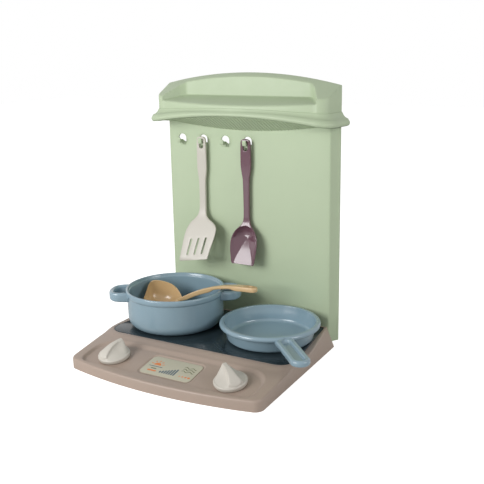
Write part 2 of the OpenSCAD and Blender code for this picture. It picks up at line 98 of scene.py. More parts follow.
def look_up(rows, z):
    """The row at height z, from rows sorted from the top down by their first number."""
    if z >= rows[0][0]:
        return rows[0]
    for a, b in zip(rows, rows[1:]):
        if z >= b[0]:
            t = (a[0] - z) / max(1e-6, a[0] - b[0])
            return tuple(mix(p, q, t) for p, q in zip(a, b))
    return rows[-1]


def offset(loop, distance):
    """A closed loop drawn in by distance: inward for a loop that runs anticlockwise."""
    out = []
    n = len(loop)
    for i in range(n):
        a, b, c = Vector(loop[i - 1][:2]), Vector(loop[i][:2]), Vector(loop[(i + 1) % n][:2])
        d0, d1 = (b - a).normalized(), (c - b).normalized()
        across = Vector((-d0.y - d1.y, d0.x + d1.x))
        if across.length < 1e-6:
            across = Vector((-d0.y, d0.x))
        across.normalize()
        stretch = 1 / max(0.6, abs(across.dot(Vector((-d0.y, d0.x)))))
        out.append((b.x + across.x * distance * stretch, b.y + across.y * distance * stretch))
    return out


def inside(x, y, loop):
    """Whether a point lies in a closed loop."""
    hit = False
    xa, ya = loop[-1][0], loop[-1][1]
    for p in loop:
        xb, yb = p[0], p[1]
        if (ya > y) != (yb > y) and x < (xb - xa) * (y - ya) / (yb - ya) + xa:
            hit = not hit
        xa, ya = xb, yb
    return hit


def even(loop, gap):
    """A closed loop with extra points, so that none lie further apart than gap."""
    out = []
    for i, p in enumerate(loop):
        q = loop[(i + 1) % len(loop)]
        n = max(1, math.ceil(math.dist(p[:2], q[:2]) / gap))
        out += [tuple(mix(a, b, k / n) for a, b in zip(p, q)) for k in range(n)]
    return out


def rounded(half, y0, y1, front_r, back_r, n=10):
    """A rectangle with one corner radius at the front and one at the back, anticlockwise."""
    right = arc(half - front_r, y0 + front_r, front_r, -90, 0, n)
    right += arc(half - back_r, y1 - back_r, back_r, 0, 90, n)
    return right + mirrored(right)


def oval(cx, cy, rx, ry, n):
    """A closed oval, anticlockwise."""
    turns = [math.tau * i / n for i in range(n)]
    return [(cx + rx * math.cos(a), cy + ry * math.sin(a)) for a in turns]


def capsule(cx, cy, half_w, half_h):
    """An upright slot with round ends, anticlockwise."""
    straight = half_h - half_w
    return arc(cx, cy + straight, half_w, 0, 180, 12) + arc(cx, cy - straight, half_w, 180, 360, 12)


def bar_ring(width, height, r, n=4):
    """A rounded rectangle round the origin, anticlockwise."""
    x, y = width / 2 - r, height / 2 - r
    return (arc(x, y, r, 0, 90, n) + arc(-x, y, r, 90, 180, n)
            + arc(-x, -y, r, 180, 270, n) + arc(x, -y, r, 270, 360, n))


# ---------------------------------------------------------------- mesh builder


class Skin:
    """Points in millimetres and faces, gathered before they become a mesh."""

    def __init__(self):
        self.points = []
        self.faces = []

    def ring(self, points):
        """Adds points and gives their indices."""
        start = len(self.points)
        self.points.extend(tuple(p) for p in points)
        return list(range(start, len(self.points)))

    def bridge(self, a, b, closed=True):
        """Faces between two rows of indices."""
        n = len(a)
        for i in range(n if closed else n - 1):
            j = (i + 1) % n
            self.faces.append((a[i], a[j], b[j], b[i]))

    def bands(self, rows):
        """Faces between each row of indices and the next."""
        for a, b in zip(rows, rows[1:]):
            self.bridge(a, b)

    def loft(self, rings):
        """A closed solid through rings of points."""
        rows = [self.ring(r) for r in rings]
        self.bands(rows)
        self.faces += [tuple(rows[0]), tuple(rows[-1])]

    def lathe(self, profile, place, n=160):
        """Turns a profile of (radius, height), closed or from axis to axis, round that axis."""
        turns = [math.tau * i / n for i in range(n)]
        self.bands([self.ring([place(r * math.cos(a), r * math.sin(a), z) for a in turns])
                    for r, z in profile])

    def fill(self, rings, place, step):
        """Triangles about step wide between the first ring and the holes after it.

        A ring is (indices, flat points), and place puts a new flat point in space.
        """
        points, owner, edges = [], [], []
        for indices, flat in rings:
            start, n = len(points), len(flat)
            points += [Vector(p[:2]) for p in flat]
            owner += indices
            edges += [(start + i, start + (i + 1) % n) for i in range(n)]
        near = kdtree.KDTree(len(points))
        for i, p in enumerate(points):
            near.insert((p.x, p.y, 0), i)
        near.balance()
        loops = [flat for _, flat in rings]

        def within(x, y):
            return inside(x, y, loops[0]) and not any(inside(x, y, h) for h in loops[1:])

        xs, ys = [p.x for p in points], [p.y for p in points]
        row_step = step * 0.866
        for row in range(int((max(ys) - min(ys)) / row_step) + 1):
            y = min(ys) + row * row_step
            x = min(xs) + (row % 2) * step / 2
            while x < max(xs):
                if near.find((x, y, 0))[2] > 0.62 * step and within(x, y):
                    points.append(Vector((x, y)))
                x += step
        coords, _, triangles, origin, _, _ = delaunay_2d_cdt(points, edges, [], 0, 1e-5)
        index = []
        for c, o in zip(coords, origin):
            known = [owner[i] for i in o if i < len(owner)]
            index.append(known[0] if known else self.ring([place(c.x, c.y)])[0])
        for t in triangles:
            mid = sum((coords[i] for i in t), Vector((0, 0))) / 3
            if within(mid.x, mid.y):
                self.faces.append(tuple(index[i] for i in t))

    def plate(self, outline, holes, place, thick, edge, step, hole_edge=None):
        """A plate with rounded edges: place(x, y, depth) puts a plan point at a depth under its front."""
        quarter = [math.radians(22.5 * k) for k in range(5)]
        front_chain = [(1 - math.sin(a), 1 - math.cos(a), 0) for a in quarter]
        back_chain = [(i, -d, 1) for i, d, _ in reversed(front_chain)]
        fronts, backs = [], []
        for number, loop in enumerate([outline] + holes):
            e = edge if number == 0 else hole_edge or edge
            side = 1 if number == 0 else -1
            before = None
            for inset, depth, at_back in front_chain + back_chain:
                flat = offset(loop, inset * e * side)
                ring = self.ring([place(x, y, (thick(x, y) if at_back else 0) + depth * e) for x, y in flat])
                if before:
                    self.bridge(before, ring)
                else:
                    fronts.append((ring, flat))
                before = ring
            backs.append((before, flat))
        self.fill(fronts, lambda x, y: place(x, y, 0), step)
        self.fill(backs, lambda x, y: place(x, y, thick(x, y)), step)


def make(skin, name, finish, body, slot, nodes=(), sharp=38, upward=None, wall=0):
    """Turns a skin into an object that rides on a body and stands for CAD nodes.

    Edges bent by more than sharp degrees stay crisp. Upward is 1 where most faces look up, and wall is the
    thickness given to an open sheet.
    """
    mesh = bpy.data.meshes.new(name)
    mesh.from_pydata([(x * MM, y * MM, z * MM) for x, y, z in skin.points], [], skin.faces)
    bm = bmesh.new()
    bm.from_mesh(mesh)
    bmesh.ops.remove_doubles(bm, verts=bm.verts, dist=0.004 * MM)
    bmesh.ops.dissolve_degenerate(bm, edges=bm.edges, dist=0.0005 * MM)
    bmesh.ops.recalc_face_normals(bm, faces=bm.faces)
    if upward is not None and sum(f.normal.z * f.calc_area() for f in bm.faces) * upward < 0:
        bmesh.ops.reverse_faces(bm, faces=bm.faces)
    bm.to_mesh(mesh)
    bm.free()
    dress(walled(mesh, wall) if wall else mesh, name, finish, body, slot, nodes, sharp)


def dress(mesh, name, finish, body, slot, nodes, sharp):
    """Gives a finished mesh its object, material and body, and hides the CAD nodes it stands for. Slot is
    not used.
    """
    if not mesh.polygons:
        raise RuntimeError(f"{name} has no faces")
    mesh.shade_smooth()
    mesh.set_sharp_from_angle(angle=math.radians(sharp))
    mesh.materials.clear()
    mesh.materials.append(finish)
    piece = bpy.data.objects.new(name, mesh)
    bpy.context.scene.collection.objects.link(piece)
    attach(piece, body)
    if nodes:
        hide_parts(*nodes)


def walled(sheet, thickness):
    """The mesh of an open moulded sheet with its wall, on the side away from its normals.

    The wall's rim is kept level with the floor and with the hood's flat back.
    """
    carrier = bpy.data.objects.new("sheet", sheet)
    bpy.context.scene.collection.objects.link(carrier)
    wall = carrier.modifiers.new("wall", "SOLIDIFY")
    wall.thickness = thickness * MM
    wall.offset = -1
    wall.use_rim = True
    solid = settled(carrier)
    for v in solid.vertices:
        v.co.z = max(0.0, v.co.z)
        v.co.y = min(HOOD_BACK * MM, v.co.y)
    return solid


def settled(carrier):
    """The plain mesh of an object with its modifiers applied; the object is removed."""
    bpy.context.view_layer.update()
    evaluated = carrier.evaluated_get(bpy.context.evaluated_depsgraph_get())
    mesh = bpy.data.meshes.new_from_object(evaluated)
    bpy.data.objects.remove(carrier)
    return mesh


def add(tree, kind, links=None, **settings):
    """Adds a node with its settings, and links or sets its inputs."""
    made = tree.nodes.new(kind)
    for name, value in settings.items():
        setattr(made, name, value)
    for socket, value in (links or {}).items():
        if isinstance(value, bpy.types.NodeSocket):
            tree.links.new(value, made.inputs[socket])
        else:
            made.inputs[socket].default_value = value
    return made


# ------------------------------------------------------------------- materials


def srgb(code):
    """Linear colour of an sRGB hex value."""
    parts = [int(code[i:i + 2], 16) / 255 for i in (0, 2, 4)]
    return tuple(c / 12.92 if c <= 0.04045 else ((c + 0.055) / 1.055) ** 2.4 for c in parts) + (1.0,)


def shade(colour, factor):
    """A colour made darker or lighter."""
    return tuple(min(1.0, c * factor) for c in colour[:3]) + (1.0,)


def moulded(name, colour, roughness, grain_mm, grain_depth_mm, ior=1.5, level=0.5, coat=0.0):
    """Injection-moulded plastic: a slow drift of tone, a tool-marked grain and uneven gloss."""
    material = bpy.data.materials.new(name)
    material.use_nodes = True
    material.diffuse_color = colour
    tree = material.node_tree
    tree.nodes.clear()
    place = add(tree, "ShaderNodeTexCoord").outputs["Object"]
    # Tone drifts by about 2 % over 60 mm, as pigment does where the melt has flowed.
    drift = add(tree, "ShaderNodeTexNoise", {"Vector": place, "Scale": 1 / (60 * MM), "Detail": 2.0})
    tone = add(tree, "ShaderNodeMix", {0: drift.outputs["Fac"], 6: shade(colour, 0.97),
                                       7: shade(colour, 1.03)}, data_type="RGBA")
    # The gloss varies over 9 mm patches where the tool was polished by hand.
    patches = add(tree, "ShaderNodeTexNoise", {"Vector": place, "Scale": 1 / (9 * MM), "Detail": 3.0})
    gloss = add(tree, "ShaderNodeMapRange", {
        "Value": patches.outputs["Fac"], "From Min": 0.3, "From Max": 0.7,
        "To Min": roughness * 0.93, "To Max": min(1, roughness * 1.08)})
    # The spark-eroded grain of a real tool is about 0.1 mm. It is drawn coarser so that it shows.
    grain = add(tree, "ShaderNodeTexNoise", {"Vector": place, "Scale": 1 / (grain_mm * MM), "Detail": 4.0,
                                             "Roughness": 0.6})
    relief = add(tree, "ShaderNodeBump", {"Height": grain.outputs["Fac"], "Distance": grain_depth_mm * MM,
                                          "Strength": 0.6})
    shader = add(tree, "ShaderNodeBsdfPrincipled", {
        "Base Color": tone.outputs[2], "Roughness": gloss.outputs[0], "Normal": relief.outputs[0],
        "IOR": ior, "Specular IOR Level": level, "Coat Weight": coat, "Coat Roughness": 0.08})
    add(tree, "ShaderNodeOutputMaterial", {"Surface": shader.outputs[0]})
    return material


def printed_film(name, colour):
    """Screen-printed polyester film: flat ink with a fine paper-like unevenness."""
    return moulded(name, colour, 0.42, 1.2, 0.004, level=0.4)


def zinc_steel():
    """Zinc-plated steel, barrel finished: grey, softly bright and mottled."""
    material = bpy.data.materials.new("zinc_plated_steel")
    material.use_nodes = True
    tree = material.node_tree
    tree.nodes.clear()
    place = add(tree, "ShaderNodeTexCoord").outputs["Object"]
    # Plating crystals are under 0.5 mm across. They are drawn at 1 mm so that they show.
    mottle = add(tree, "ShaderNodeTexVoronoi", {"Vector": place, "Scale": 1 / (1.0 * MM)})
    tone = add(tree, "ShaderNodeMix", {0: mottle.outputs["Distance"], 6: srgb("8f9294"), 7: srgb("c9cbca")},
               data_type="RGBA")
    rough = add(tree, "ShaderNodeMapRange", {"Value": mottle.outputs["Distance"], "To Min": 0.24,
                                             "To Max": 0.42})
    shader = add(tree, "ShaderNodeBsdfPrincipled", {
        "Base Color": tone.outputs[2], "Roughness": rough.outputs[0], "Metallic": 1.0})
    add(tree, "ShaderNodeOutputMaterial", {"Surface": shader.outputs[0]})
    return material


RING_RADII, RING_WIDTH = (86.5, 90.5), 1.4


def hob_finish(colour, ring_colour, centres):
    """Gloss-painted styrene hob plate: dark, with two rings a shade lighter round the pot's and the pan's
    places.
    """
    material = moulded("gloss_painted_styrene_hob", colour, 0.16, 2.5, 0.002, level=0.4)
    tree = material.node_tree
    shader = next(n for n in tree.nodes if n.type == "BSDF_PRINCIPLED")
    place = next(n for n in tree.nodes if n.type == "TEX_COORD").outputs["Object"]
    tone = shader.inputs["Base Color"].links[0].from_socket
    # Two rings a shade lighter round each place where the pot or the pan stands.
    for x, y in centres:
        flat = add(tree, "ShaderNodeVectorMath", {0: place, 1: (x * MM, y * MM, 0.0)}, operation="SUBTRACT")
        flat = add(tree, "ShaderNodeVectorMath", {0: flat.outputs[0], 1: (1, 1, 0)}, operation="MULTIPLY")
        far = add(tree, "ShaderNodeVectorMath", {0: flat.outputs[0]}, operation="LENGTH").outputs["Value"]
        for radius in RING_RADII:
            miss = add(tree, "ShaderNodeMath", {0: far, 1: radius * MM, 2: RING_WIDTH / 2 * MM},
                       operation="COMPARE")
            tone = add(tree, "ShaderNodeMix", {0: miss.outputs[0], 6: tone, 7: ring_colour},
                       data_type="RGBA").outputs[2]
    tree.links.new(tone, shader.inputs["Base Color"])
    return material


# -------------------------------------------------------------- user's values


class PlayHobSizes(bpy.types.PropertyGroup):
    """Sizes that shape the visible pieces, in millimetres, and the floor's width in metres."""
    wall: bpy.props.FloatProperty(
        name="Wall", description="Wall thickness of the base and the hood", default=2.4, min=1.5, max=3)
    hob_edge: bpy.props.FloatProperty(
        name="Hob edge", description="Radius of the hob plate's upper edge", default=1.3, min=0.3, max=2)
    front_round: bpy.props.FloatProperty(
        name="Front rounding", description="Rounding of the base's outer upper edge", default=3.4,
        min=2, max=7)
    rib_pitch: bpy.props.FloatProperty(
        name="Rib pitch", description="Distance between the ribs under the hood", default=6.0, min=4, max=8)
    rib_height: bpy.props.FloatProperty(
        name="Rib height", description="Height of the ribs under the hood", default=1.1, min=0.3, max=1.1)
    turn_left: bpy.props.FloatProperty(
        name="Left knob", description="Direction of the left knob's fin, in degrees from +X",
        default=68.0)
    turn_right: bpy.props.FloatProperty(
        name="Right knob", description="Direction of the right knob's fin, in degrees from +X",
        default=144.0)
    floor: bpy.props.FloatProperty(
        name="Floor", description="Width of the pale floor in metres", default=9.0, min=3, unit="LENGTH")


def colour_property(name, what, code):
    return bpy.props.FloatVectorProperty(
        name=name, description=what, default=srgb(code), size=4, min=0, max=1, subtype="COLOR")


class PlayHobColours(bpy.types.PropertyGroup):
    """Colours of the moulded pieces and the print."""
    base: colour_property("Base", "Colour of the base moulding", "a9978a")
    hob: colour_property("Hob", "Colour of the hob plate", "2a353a")
    # The colour of two circles drawn a shade lighter than the plate, round where the pot and the pan stand.
    burner: colour_property("Burner rings", "Colour of the printed burner rings", "36424a")
    label: colour_property("Label", "Ground colour of the printed label", "c0bca8")
    label_warm: colour_property("Warm print", "Warm colour on the label", "dd8248")
    label_slate: colour_property("Slate print", "Slate colour on the label", "4f626e")
    label_olive: colour_property("Olive print", "Olive colour on the label", "6d7152")
    knob: colour_property("Knobs", "Colour of the knobs", "cac5bb")
    green: colour_property("Panel and hood", "Colour of the back panel and the hood", "b5c4a5")
    ware: colour_property("Pot and pan", "Colour of the pot and the pan", "87a0ad")
    ladle: colour_property("Ladle", "Colour of the ladle", "d2b284")
    spatula: colour_property("Spatula", "Colour of the spatula", "c6c1b7")
    spoon: colour_property("Spoon", "Colour of the spoon", "6a4a55")
    floor: colour_property("Floor", "Colour of the floor", "f4f4f4")


FINISHES = {}


def finish(name):
    """A material by its short name, made once from the user's colours."""
    if name not in FINISHES:
        c = {key: tuple(getattr(bpy.context.scene.play_hob_colours, key))
             for key in PlayHobColours.__annotations__}
        makers = {
            # Polypropylene: waxy and satin, so highlights are broad and soft.
            "base": lambda: moulded("moulded_polypropylene_taupe", c["base"], 0.40, 1.1, 0.010, 1.49),
            "green": lambda: moulded("moulded_polypropylene_green", c["green"], 0.46, 1.1, 0.008, 1.49),
            "knob": lambda: moulded("moulded_polypropylene_white", c["knob"], 0.46, 0.9, 0.010, 1.49),
            "spatula": lambda: moulded("moulded_polypropylene_cream", c["spatula"], 0.38, 1.0, 0.006, 1.49),
            # Polished ABS: sharp window reflections over an even colour.
            "ware": lambda: moulded("polished_abs_blue", c["ware"], 0.20, 2.0, 0.0012, 1.52, coat=0.35),
            "ladle": lambda: moulded("polished_abs_beige", c["ladle"], 0.24, 2.0, 0.0012, 1.52, coat=0.25),
            "spoon": lambda: moulded("polished_abs_plum", c["spoon"], 0.18, 2.0, 0.0012, 1.52, coat=0.3),
            "hob": lambda: hob_finish(c["hob"], c["burner"], (POT_CENTRE, PAN_CENTRE)),
            "steel": zinc_steel,
            "label": lambda: printed_film("printed_polyester_label", c["label"]),
            "warm_ink": lambda: printed_film("screen_ink_orange", c["label_warm"]),
            "slate_ink": lambda: printed_film("screen_ink_slate", c["label_slate"]),
            "olive_ink": lambda: printed_film("screen_ink_olive", c["label_olive"]),
        }
        FINISHES[name] = makers[name]()
    return FINISHES[name]


# ----------------------------------------------------------------------- base

BASE_FRONT, BASE_REAR, BASE_DEPTH, BOW = 168.0, 161.0, 265.0, 20.0
HOB_TOP, HOB_THICK, RIDGE = 32.0, 3.0, 16.5
SLOPE = math.radians(9.8)
KNOB_X, KNOB_Y, CONTROL_Z = 104.4, -235.0, 17.9
LABEL_W, LABEL_D, LABEL_V, LABEL_DOWN = 89.6, 46.0, 2.9, -1.2
SCREW_X, SCREW_Z, SCREW_HOLE_R = (-125, -60, 60, 125), 16, 1.8
BOSS_IN, BOSS_OUT = 1.6, 4
POT_CENTRE, PAN_CENTRE = (-85.8, -92.8), (87.1, -83.7)


def on_controls(u, v, w=0.0):
    """A point of the sloping control surface, w above it."""
    return (u, KNOB_Y + v * math.cos(SLOPE) - w * math.sin(SLOPE),
            CONTROL_Z + v * math.sin(SLOPE) + w * math.cos(SLOPE))


LEVEL_X, LEVEL_Y, LEVEL_R = 137.5, -140, 35
STEEP_RUN, STEEP_FALL, GENTLE_FALL, FALL_ROUND = 15.0, 0.34, 0.144, 4


def base_top_z(x, y):
    """Height of the base's upper surface outside the basin.

    It is level round the hob plate. In front of that it falls steeply at first, then more gently.
    """
    over_x, over_y = max(0.0, abs(x) - LEVEL_X), max(0.0, LEVEL_Y - y)
    away = max(0.0, math.hypot(over_x, over_y) - LEVEL_R) if over_y > 0 else 0.0
    near = min(away, STEEP_RUN)
    fall = STEEP_FALL * (math.sqrt(near * near + FALL_ROUND ** 2) - FALL_ROUND)
    fall += GENTLE_FALL * max(0.0, away - STEEP_RUN)
    return max(RIDGE, HOB_TOP - fall)


def base_outlines():
    """Matched closed outlines: the foot on the floor and the upper edge, both from the back centre."""
    corner_r, edge_rear = 14.0, 147
    big = (BASE_FRONT ** 2 + BOW ** 2) / (2 * BOW)
    centre_y = -BASE_DEPTH - BOW + big
    turn = math.asin((BASE_FRONT - corner_r) / (big - corner_r))
    cx, cy = BASE_FRONT - corner_r, centre_y - (big - corner_r) * math.cos(turn)
    edge_rows = through([(edge_rear, 0), (160.5, -56), (171.4, -108), (172.5, -128), (172.3, -150),
                         (170.8, -190), (169.2, -228), (168.3, cy)], 60)
    foot, edge = [], []
    for k in range(14):
        foot.append((BASE_REAR * k / 14, 0.0))
        edge.append((edge_rear * k / 14, 0.0))
    for x, y in edge_rows:
        foot.append((mix(BASE_REAR, BASE_FRONT, y / cy), y))
        edge.append((x, y))
    for (fx, fy), (ex, ey) in zip(arc(cx, cy, corner_r, 0, math.degrees(turn) - 90, 14)[1:],
                                  arc(cx, cy, corner_r + 0.2, 0, math.degrees(turn) - 90, 14)[1:]):
        foot.append((fx, fy))
        edge.append((ex, ey))
    for k in range(1, 41):
        a = turn * (1 - k / 40)
        point = (big * math.sin(a), centre_y - big * math.cos(a))
        foot.append(point)
        edge.append(point)
    foot = mirrored(foot)[:-1] + foot[:-1]
    edge = mirrored(edge)[:-1] + edge[:-1]
    return foot[::-1], edge[::-1]


def hob_outline(gap):
    """Outline of the hob plate, or of its bed with a gap round it, anticlockwise."""
    right = arc(140, -150, 25 + gap, -90, 5, 14) + [(144.5 + gap, -3 + gap)]
    return even(right + mirrored(right), 6)


def base_skin(front_round):
    """The base's outer sheet: flanks, upper surface, basin, label recess and the bed of the hob plate."""
    skin = Skin()
    foot, edge = base_outlines()
    inner = offset(edge, 1.0)
    inward = [(b[0] - a[0], b[1] - a[1]) for a, b in zip(edge, inner)]
    columns = []
    for (fx, fy), (ex, ey), (ix, iy) in zip(foot, edge, inward):
        r = 0.8 if ey > -0.5 else front_round
        top = Vector((ex, ey, base_top_z(ex, ey)))
        low = Vector((fx, fy, 0))
        a = top + (low - top).normalized() * r
        bx, by = ex + ix * r, ey + iy * r
        b = Vector((bx, by, base_top_z(bx, by)))
        column = [low, low + (a - low) * 0.02] + [low + (a - low) * t for t in (0.35, 0.7, 1)]
        column += [a * (1 - t) ** 2 + top * 2 * t * (1 - t) + b * t * t for t in (0.2, 0.4, 0.6, 0.8, 1)]
        columns.append(column)
    rows = [skin.ring([c[k] for c in columns]) for k in range(len(columns[0]))]
    skin.bands(rows)
    rim_flat = [(c[-1].x, c[-1].y) for c in columns]

    low_flat = rounded(146, -30, 32, 16, 30, 12)
    high_flat = rounded(153, -31.5, 46, 18, 38, 12)
    low_flat, high_flat = match(low_flat, high_flat, 5)
    floor_ring = [on_controls(u, v) for u, v in low_flat]
    high = [on_controls(u, v, 3.6) for u, v in high_flat]
    wall_rows = []
    for k in range(8):
        t = k / 7
        row = []
        for p, q in zip(floor_ring, high):
            x, y = mix(p[0], q[0], t), mix(p[1], q[1], t)
            row.append((x, y, mix(p[2], base_top_z(q[0], q[1]), ease(t))))
        wall_rows.append(skin.ring(row))
    skin.bands(wall_rows)

    bed_top = hob_outline(1.1)
    bed = [skin.ring([(x, y, HOB_TOP - d) for x, y in offset(bed_top, i)])
           for i, d in ((0, 0), (0.35, 0.08), (0.65, 0.35), (0.8, 0.8), (0.8, HOB_THICK))]
    skin.bands(bed)
    skin.fill([(bed[-1], offset(bed_top, 0.8))], lambda x, y: (x, y, HOB_TOP - HOB_THICK), 24)
    skin.fill([(rows[-1], rim_flat), (wall_rows[-1], [(p[0], p[1]) for p in high]), (bed[0], bed_top)],
              lambda x, y: (x, y, base_top_z(x, y)), 5)

    margin = 4.5
    label_top = even(rounded(LABEL_W / 2 + margin, -LABEL_D / 2 - margin + LABEL_V,
                             LABEL_D / 2 + margin + LABEL_V, 12, 12), 4)
    recess = []
    for i, w in ((0, 0), (0.5, -0.06), (1.4, -0.45), (2.4, -1.0), (3.2, LABEL_DOWN), (3.9, LABEL_DOWN)):
        recess.append(skin.ring([on_controls(u, v, w) for u, v in offset(label_top, i)]))
    skin.bands(recess)
    skin.fill([(recess[-1], offset(label_top, 3.9))], lambda u, v: on_controls(u, v, LABEL_DOWN), 20)
    skin.fill([(wall_rows[0], low_flat), (recess[0], label_top)], lambda u, v: on_controls(u, v), 7)
    return skin


def match(a, b, gap):
    """Adds points to two loops of the same length at the same places, so that they stay matched."""
    out_a, out_b = [], []
    for i in range(len(a)):
        j = (i + 1) % len(a)
        n = max(1, math.ceil(math.dist(b[i], b[j]) / gap))
        for k in range(n):
            out_a.append(tuple(mix(p, q, k / n) for p, q in zip(a[i], a[j])))
            out_b.append(tuple(mix(p, q, k / n) for p, q in zip(b[i], b[j])))
    return out_a, out_b


def tube(skin, centre, axis, r_in, r_out, start, stop):
    """A short tube, such as a screw boss, along an axis at right angles to X."""
    c, z = Vector(centre), Vector(axis).normalized()
    x = Vector((1, 0, 0))
    y = z.cross(x)
    bevel = 0.3
    profile = [(r_in, start + bevel), (r_in + bevel, start), (r_out - bevel, start), (r_out, start + bevel),
               (r_out, stop), (r_in, stop)]
    skin.lathe(profile + profile[:1], lambda u, v, w: tuple(c + x * u + y * v + z * w), 40)


def base_fittings():
    """What is moulded under the base: bosses for the knobs and the panel screws, and stiffening ribs."""
    skin = Skin()
    up = Vector(on_controls(0, 0, 1)) - Vector(on_controls(0, 0, 0))
    for side in (-1, 1):
        tube(skin, on_controls(side * KNOB_X, 0), up, STEM_R + 0.2, 9, -7.6, -1.6)
    for x in SCREW_X:
        tube(skin, (x, 0, SCREW_Z), (0, -1, 0), BOSS_IN, BOSS_OUT, 1.2, 13.5)
    for x in (-90, 0, 90):
        outline = [(-184, 19.2), (-183, 18), (-3, 18), (-2, 19.2), (-2, 27), (-184, 27)]
        skin.loft([[(x + side, y, z) for y, z in outline] for side in (-1, 1)])
    return skin


def hob_skin(edge):
    """The hob plate, which lies on its bed with a hair of air under it."""
    skin = Skin()
    skin.plate(hob_outline(0), [], lambda x, y, d: (x, y, HOB_TOP - d), lambda x, y: HOB_THICK - 0.05,
               edge, 24)
    return skin


# ---------------------------------------------------------------------- label

FILM_THICK, FILM_GAP = 0.8, 0.02
FILM_TOP = LABEL_DOWN + FILM_THICK + FILM_GAP


def label_prints():
    """Generic shapes for the print: rising bars, a half sun with rays, and two waves."""
    def box_shape(u, v, w, d, r=0.7):
        return [(u + a, v + b) for a, b in bar_ring(w, d, r, 3)]

    warm, slate, olive = [], [], []
    for k in range(7):
        slate.append(box_shape(-12 + 4 * k, -12.5 + k, 2.6, 5 + 2 * k, 1.2))
    sun_u, sun_v = -27.0, 1.5
    warm.append(arc(sun_u, sun_v, 6.2, 0, 180, 24))
    for k in range(5):
        a = math.radians(18 + 36 * k)
        ray = [(math.cos(a) * x - math.sin(a) * y, math.sin(a) * x + math.cos(a) * y)
               for x, y in bar_ring(4.2, 1.5, 0.7, 3)]
        warm.append([(sun_u + 10.2 * math.cos(a) + x, sun_v + 10.2 * math.sin(a) + y) for x, y in ray])
    slate.append(box_shape(sun_u, -2.2, 24, 1.3, 0.6))
    for row in range(3):
        top = [(18 + 1.1 * i, 11 - 5 * row + 1.5 * math.sin(i * 0.62)) for i in range(20)]
        olive.append([(u, v - 1.5) for u, v in top] + top[::-1])
    for k in range(4):
        warm.append(oval(22.5 + 5.4 * k, -12.5, 1.2 + 0.3 * k, 1.2 + 0.3 * k, 20))
    warm.append(box_shape(-27, -13, 16, 3.2, 1.5))
    olive.append(box_shape(-27, -7.6, 10, 2.2, 1.0))
    return {"warm_ink": warm, "slate_ink": slate, "olive_ink": olive}


def label_skin():
    skin = Skin()
    outline = [(u, v + LABEL_V) for u, v in bar_ring(LABEL_W, LABEL_D, 7.5, 10)]
    skin.plate(even(outline, 6), [], lambda u, v, d: on_controls(u, v, FILM_TOP - d),
               lambda u, v: FILM_THICK, 0.18, 20)
    return skin


def print_skin(shapes):
    """Ink as thin slabs that stand 0.04 mm out of the film."""
    skin = Skin()
    for shape in shapes:
        skin.loft([[on_controls(u, v + LABEL_V, FILM_TOP + w) for u, v in shape] for w in (-0.2, 0.04)])
    return skin


# ---------------------------------------------------------------------- knobs

KNOB_R, KNOB_TOP, STEM_R, STEM_LEN = 24.8, 25.0, 5.0, 10.4
# The fin rises from its broad low end to a narrow peak, and drops steeply beyond it.
FIN_REACH, FIN_PEAK = KNOB_R - 1.6, 17.5
FIN_BROAD, FIN_NARROW = 14.0, 3.6
FIN_SUNK, FIN_FOOT, FIN_START = 6.0, 7.4, 7.5


def fin_section(s):
    """Cross-section of the knob's fin at distance s from the axis towards its peak.

    Base and half are its half widths at the foot and at the crest, and hollow bends the side between them.
    """
    t = clamp((s + FIN_REACH) / (FIN_REACH + FIN_PEAK))
    base = 0.95 * math.sqrt(max(0.02, FIN_REACH * FIN_REACH - s * s)) + 0.4
    past = clamp((s - FIN_PEAK) / (FIN_REACH - FIN_PEAK))
    nose = 2.4 * math.sqrt(1 - (1 - clamp((s + FIN_REACH) / 6.0)) ** 2)
    top = FIN_START + nose + (KNOB_TOP - 9.4) * (1 - (1 - t) ** 2.5)
    top -= (KNOB_TOP - 8.2) * (1 - (1 - past) ** 2)
    half = min(base * 0.86 - 0.1, mix(FIN_BROAD, FIN_NARROW, 1 - (1 - t) ** 2.6))
    edge = min(mix(4.6, 1.5, ease(t * 1.6)), half * 0.8, (top - 7.2) * 0.75)
    hollow = mix(1.0, 2.1, ease(t / 0.35)) - 1.05 * ease((t - 0.6) * 2.6)
    side = [(base, FIN_SUNK)]
    for k in range(15):
        f = k / 14
        side.append((mix(half, base, (1 - f) ** hollow), mix(min(FIN_FOOT, top - edge), top - edge, f)))
    side += [(half - 1.15 * edge * (1 - math.cos(a)), top - edge * (1 - math.sin(a)))
             for a in (math.radians(15 * k) for k in range(1, 7))]
    right = [(s, w, z) for w, z in side]
    return right + [(s, -w, z) for _, w, z in reversed(right)]


def knob_skin(side, turn):
    """A knob on the left (side -1) or the right (side 1): disc, fin and stem."""
    skin = Skin()
    c, d = math.cos(math.radians(turn)), math.sin(math.radians(turn))

    def place(x, y, z):
        return on_controls(side * KNOB_X + x * c - y * d, x * d + y * c, z)

    r = KNOB_R
    profile = [(0, 0.4), (r - 2.2, 0.4), (r - 1.4, 0.6), (r - 0.8, 1.2), (r - 0.25, 3.0), (r, 5.0)]
    profile += arc(r - 2.4, 5.3, 2.4, 5, 88, 8)
    profile += [(r - 3.4, 7.62), (r - 4.0, 7.35), (r - 4.6, 7.3), (0, 7.9)]
    skin.lathe(profile, place)
    turns = [math.radians(2.5 * k) for k in range(-36, 37)]
    skin.loft([[place(*p) for p in fin_section(FIN_REACH * math.sin(a))] for a in turns])
    stem = [(1.6, -STEM_LEN + 0.3), (2.0, -STEM_LEN), (STEM_R - 0.5, -STEM_LEN), (STEM_R, -STEM_LEN + 0.5),
            (STEM_R, 2), (1.6, 2)]
    skin.lathe(stem + stem[:1], place, 48)
    return skin


# ----------------------------------------------------------------- back panel

PANEL_FLAT, PANEL_FOOT, PANEL_TOP, PANEL_THICK, NECK_Z = 147.5, 6.0, 378.0, 2.5, 358.2
HOOK_Z, HOOK_FIRST, HOOK_PITCH, HOOK_W = 336.0, -124.1, 42.65, 7.0
HOOK_X = [HOOK_FIRST + HOOK_PITCH * k for k in range(4)]


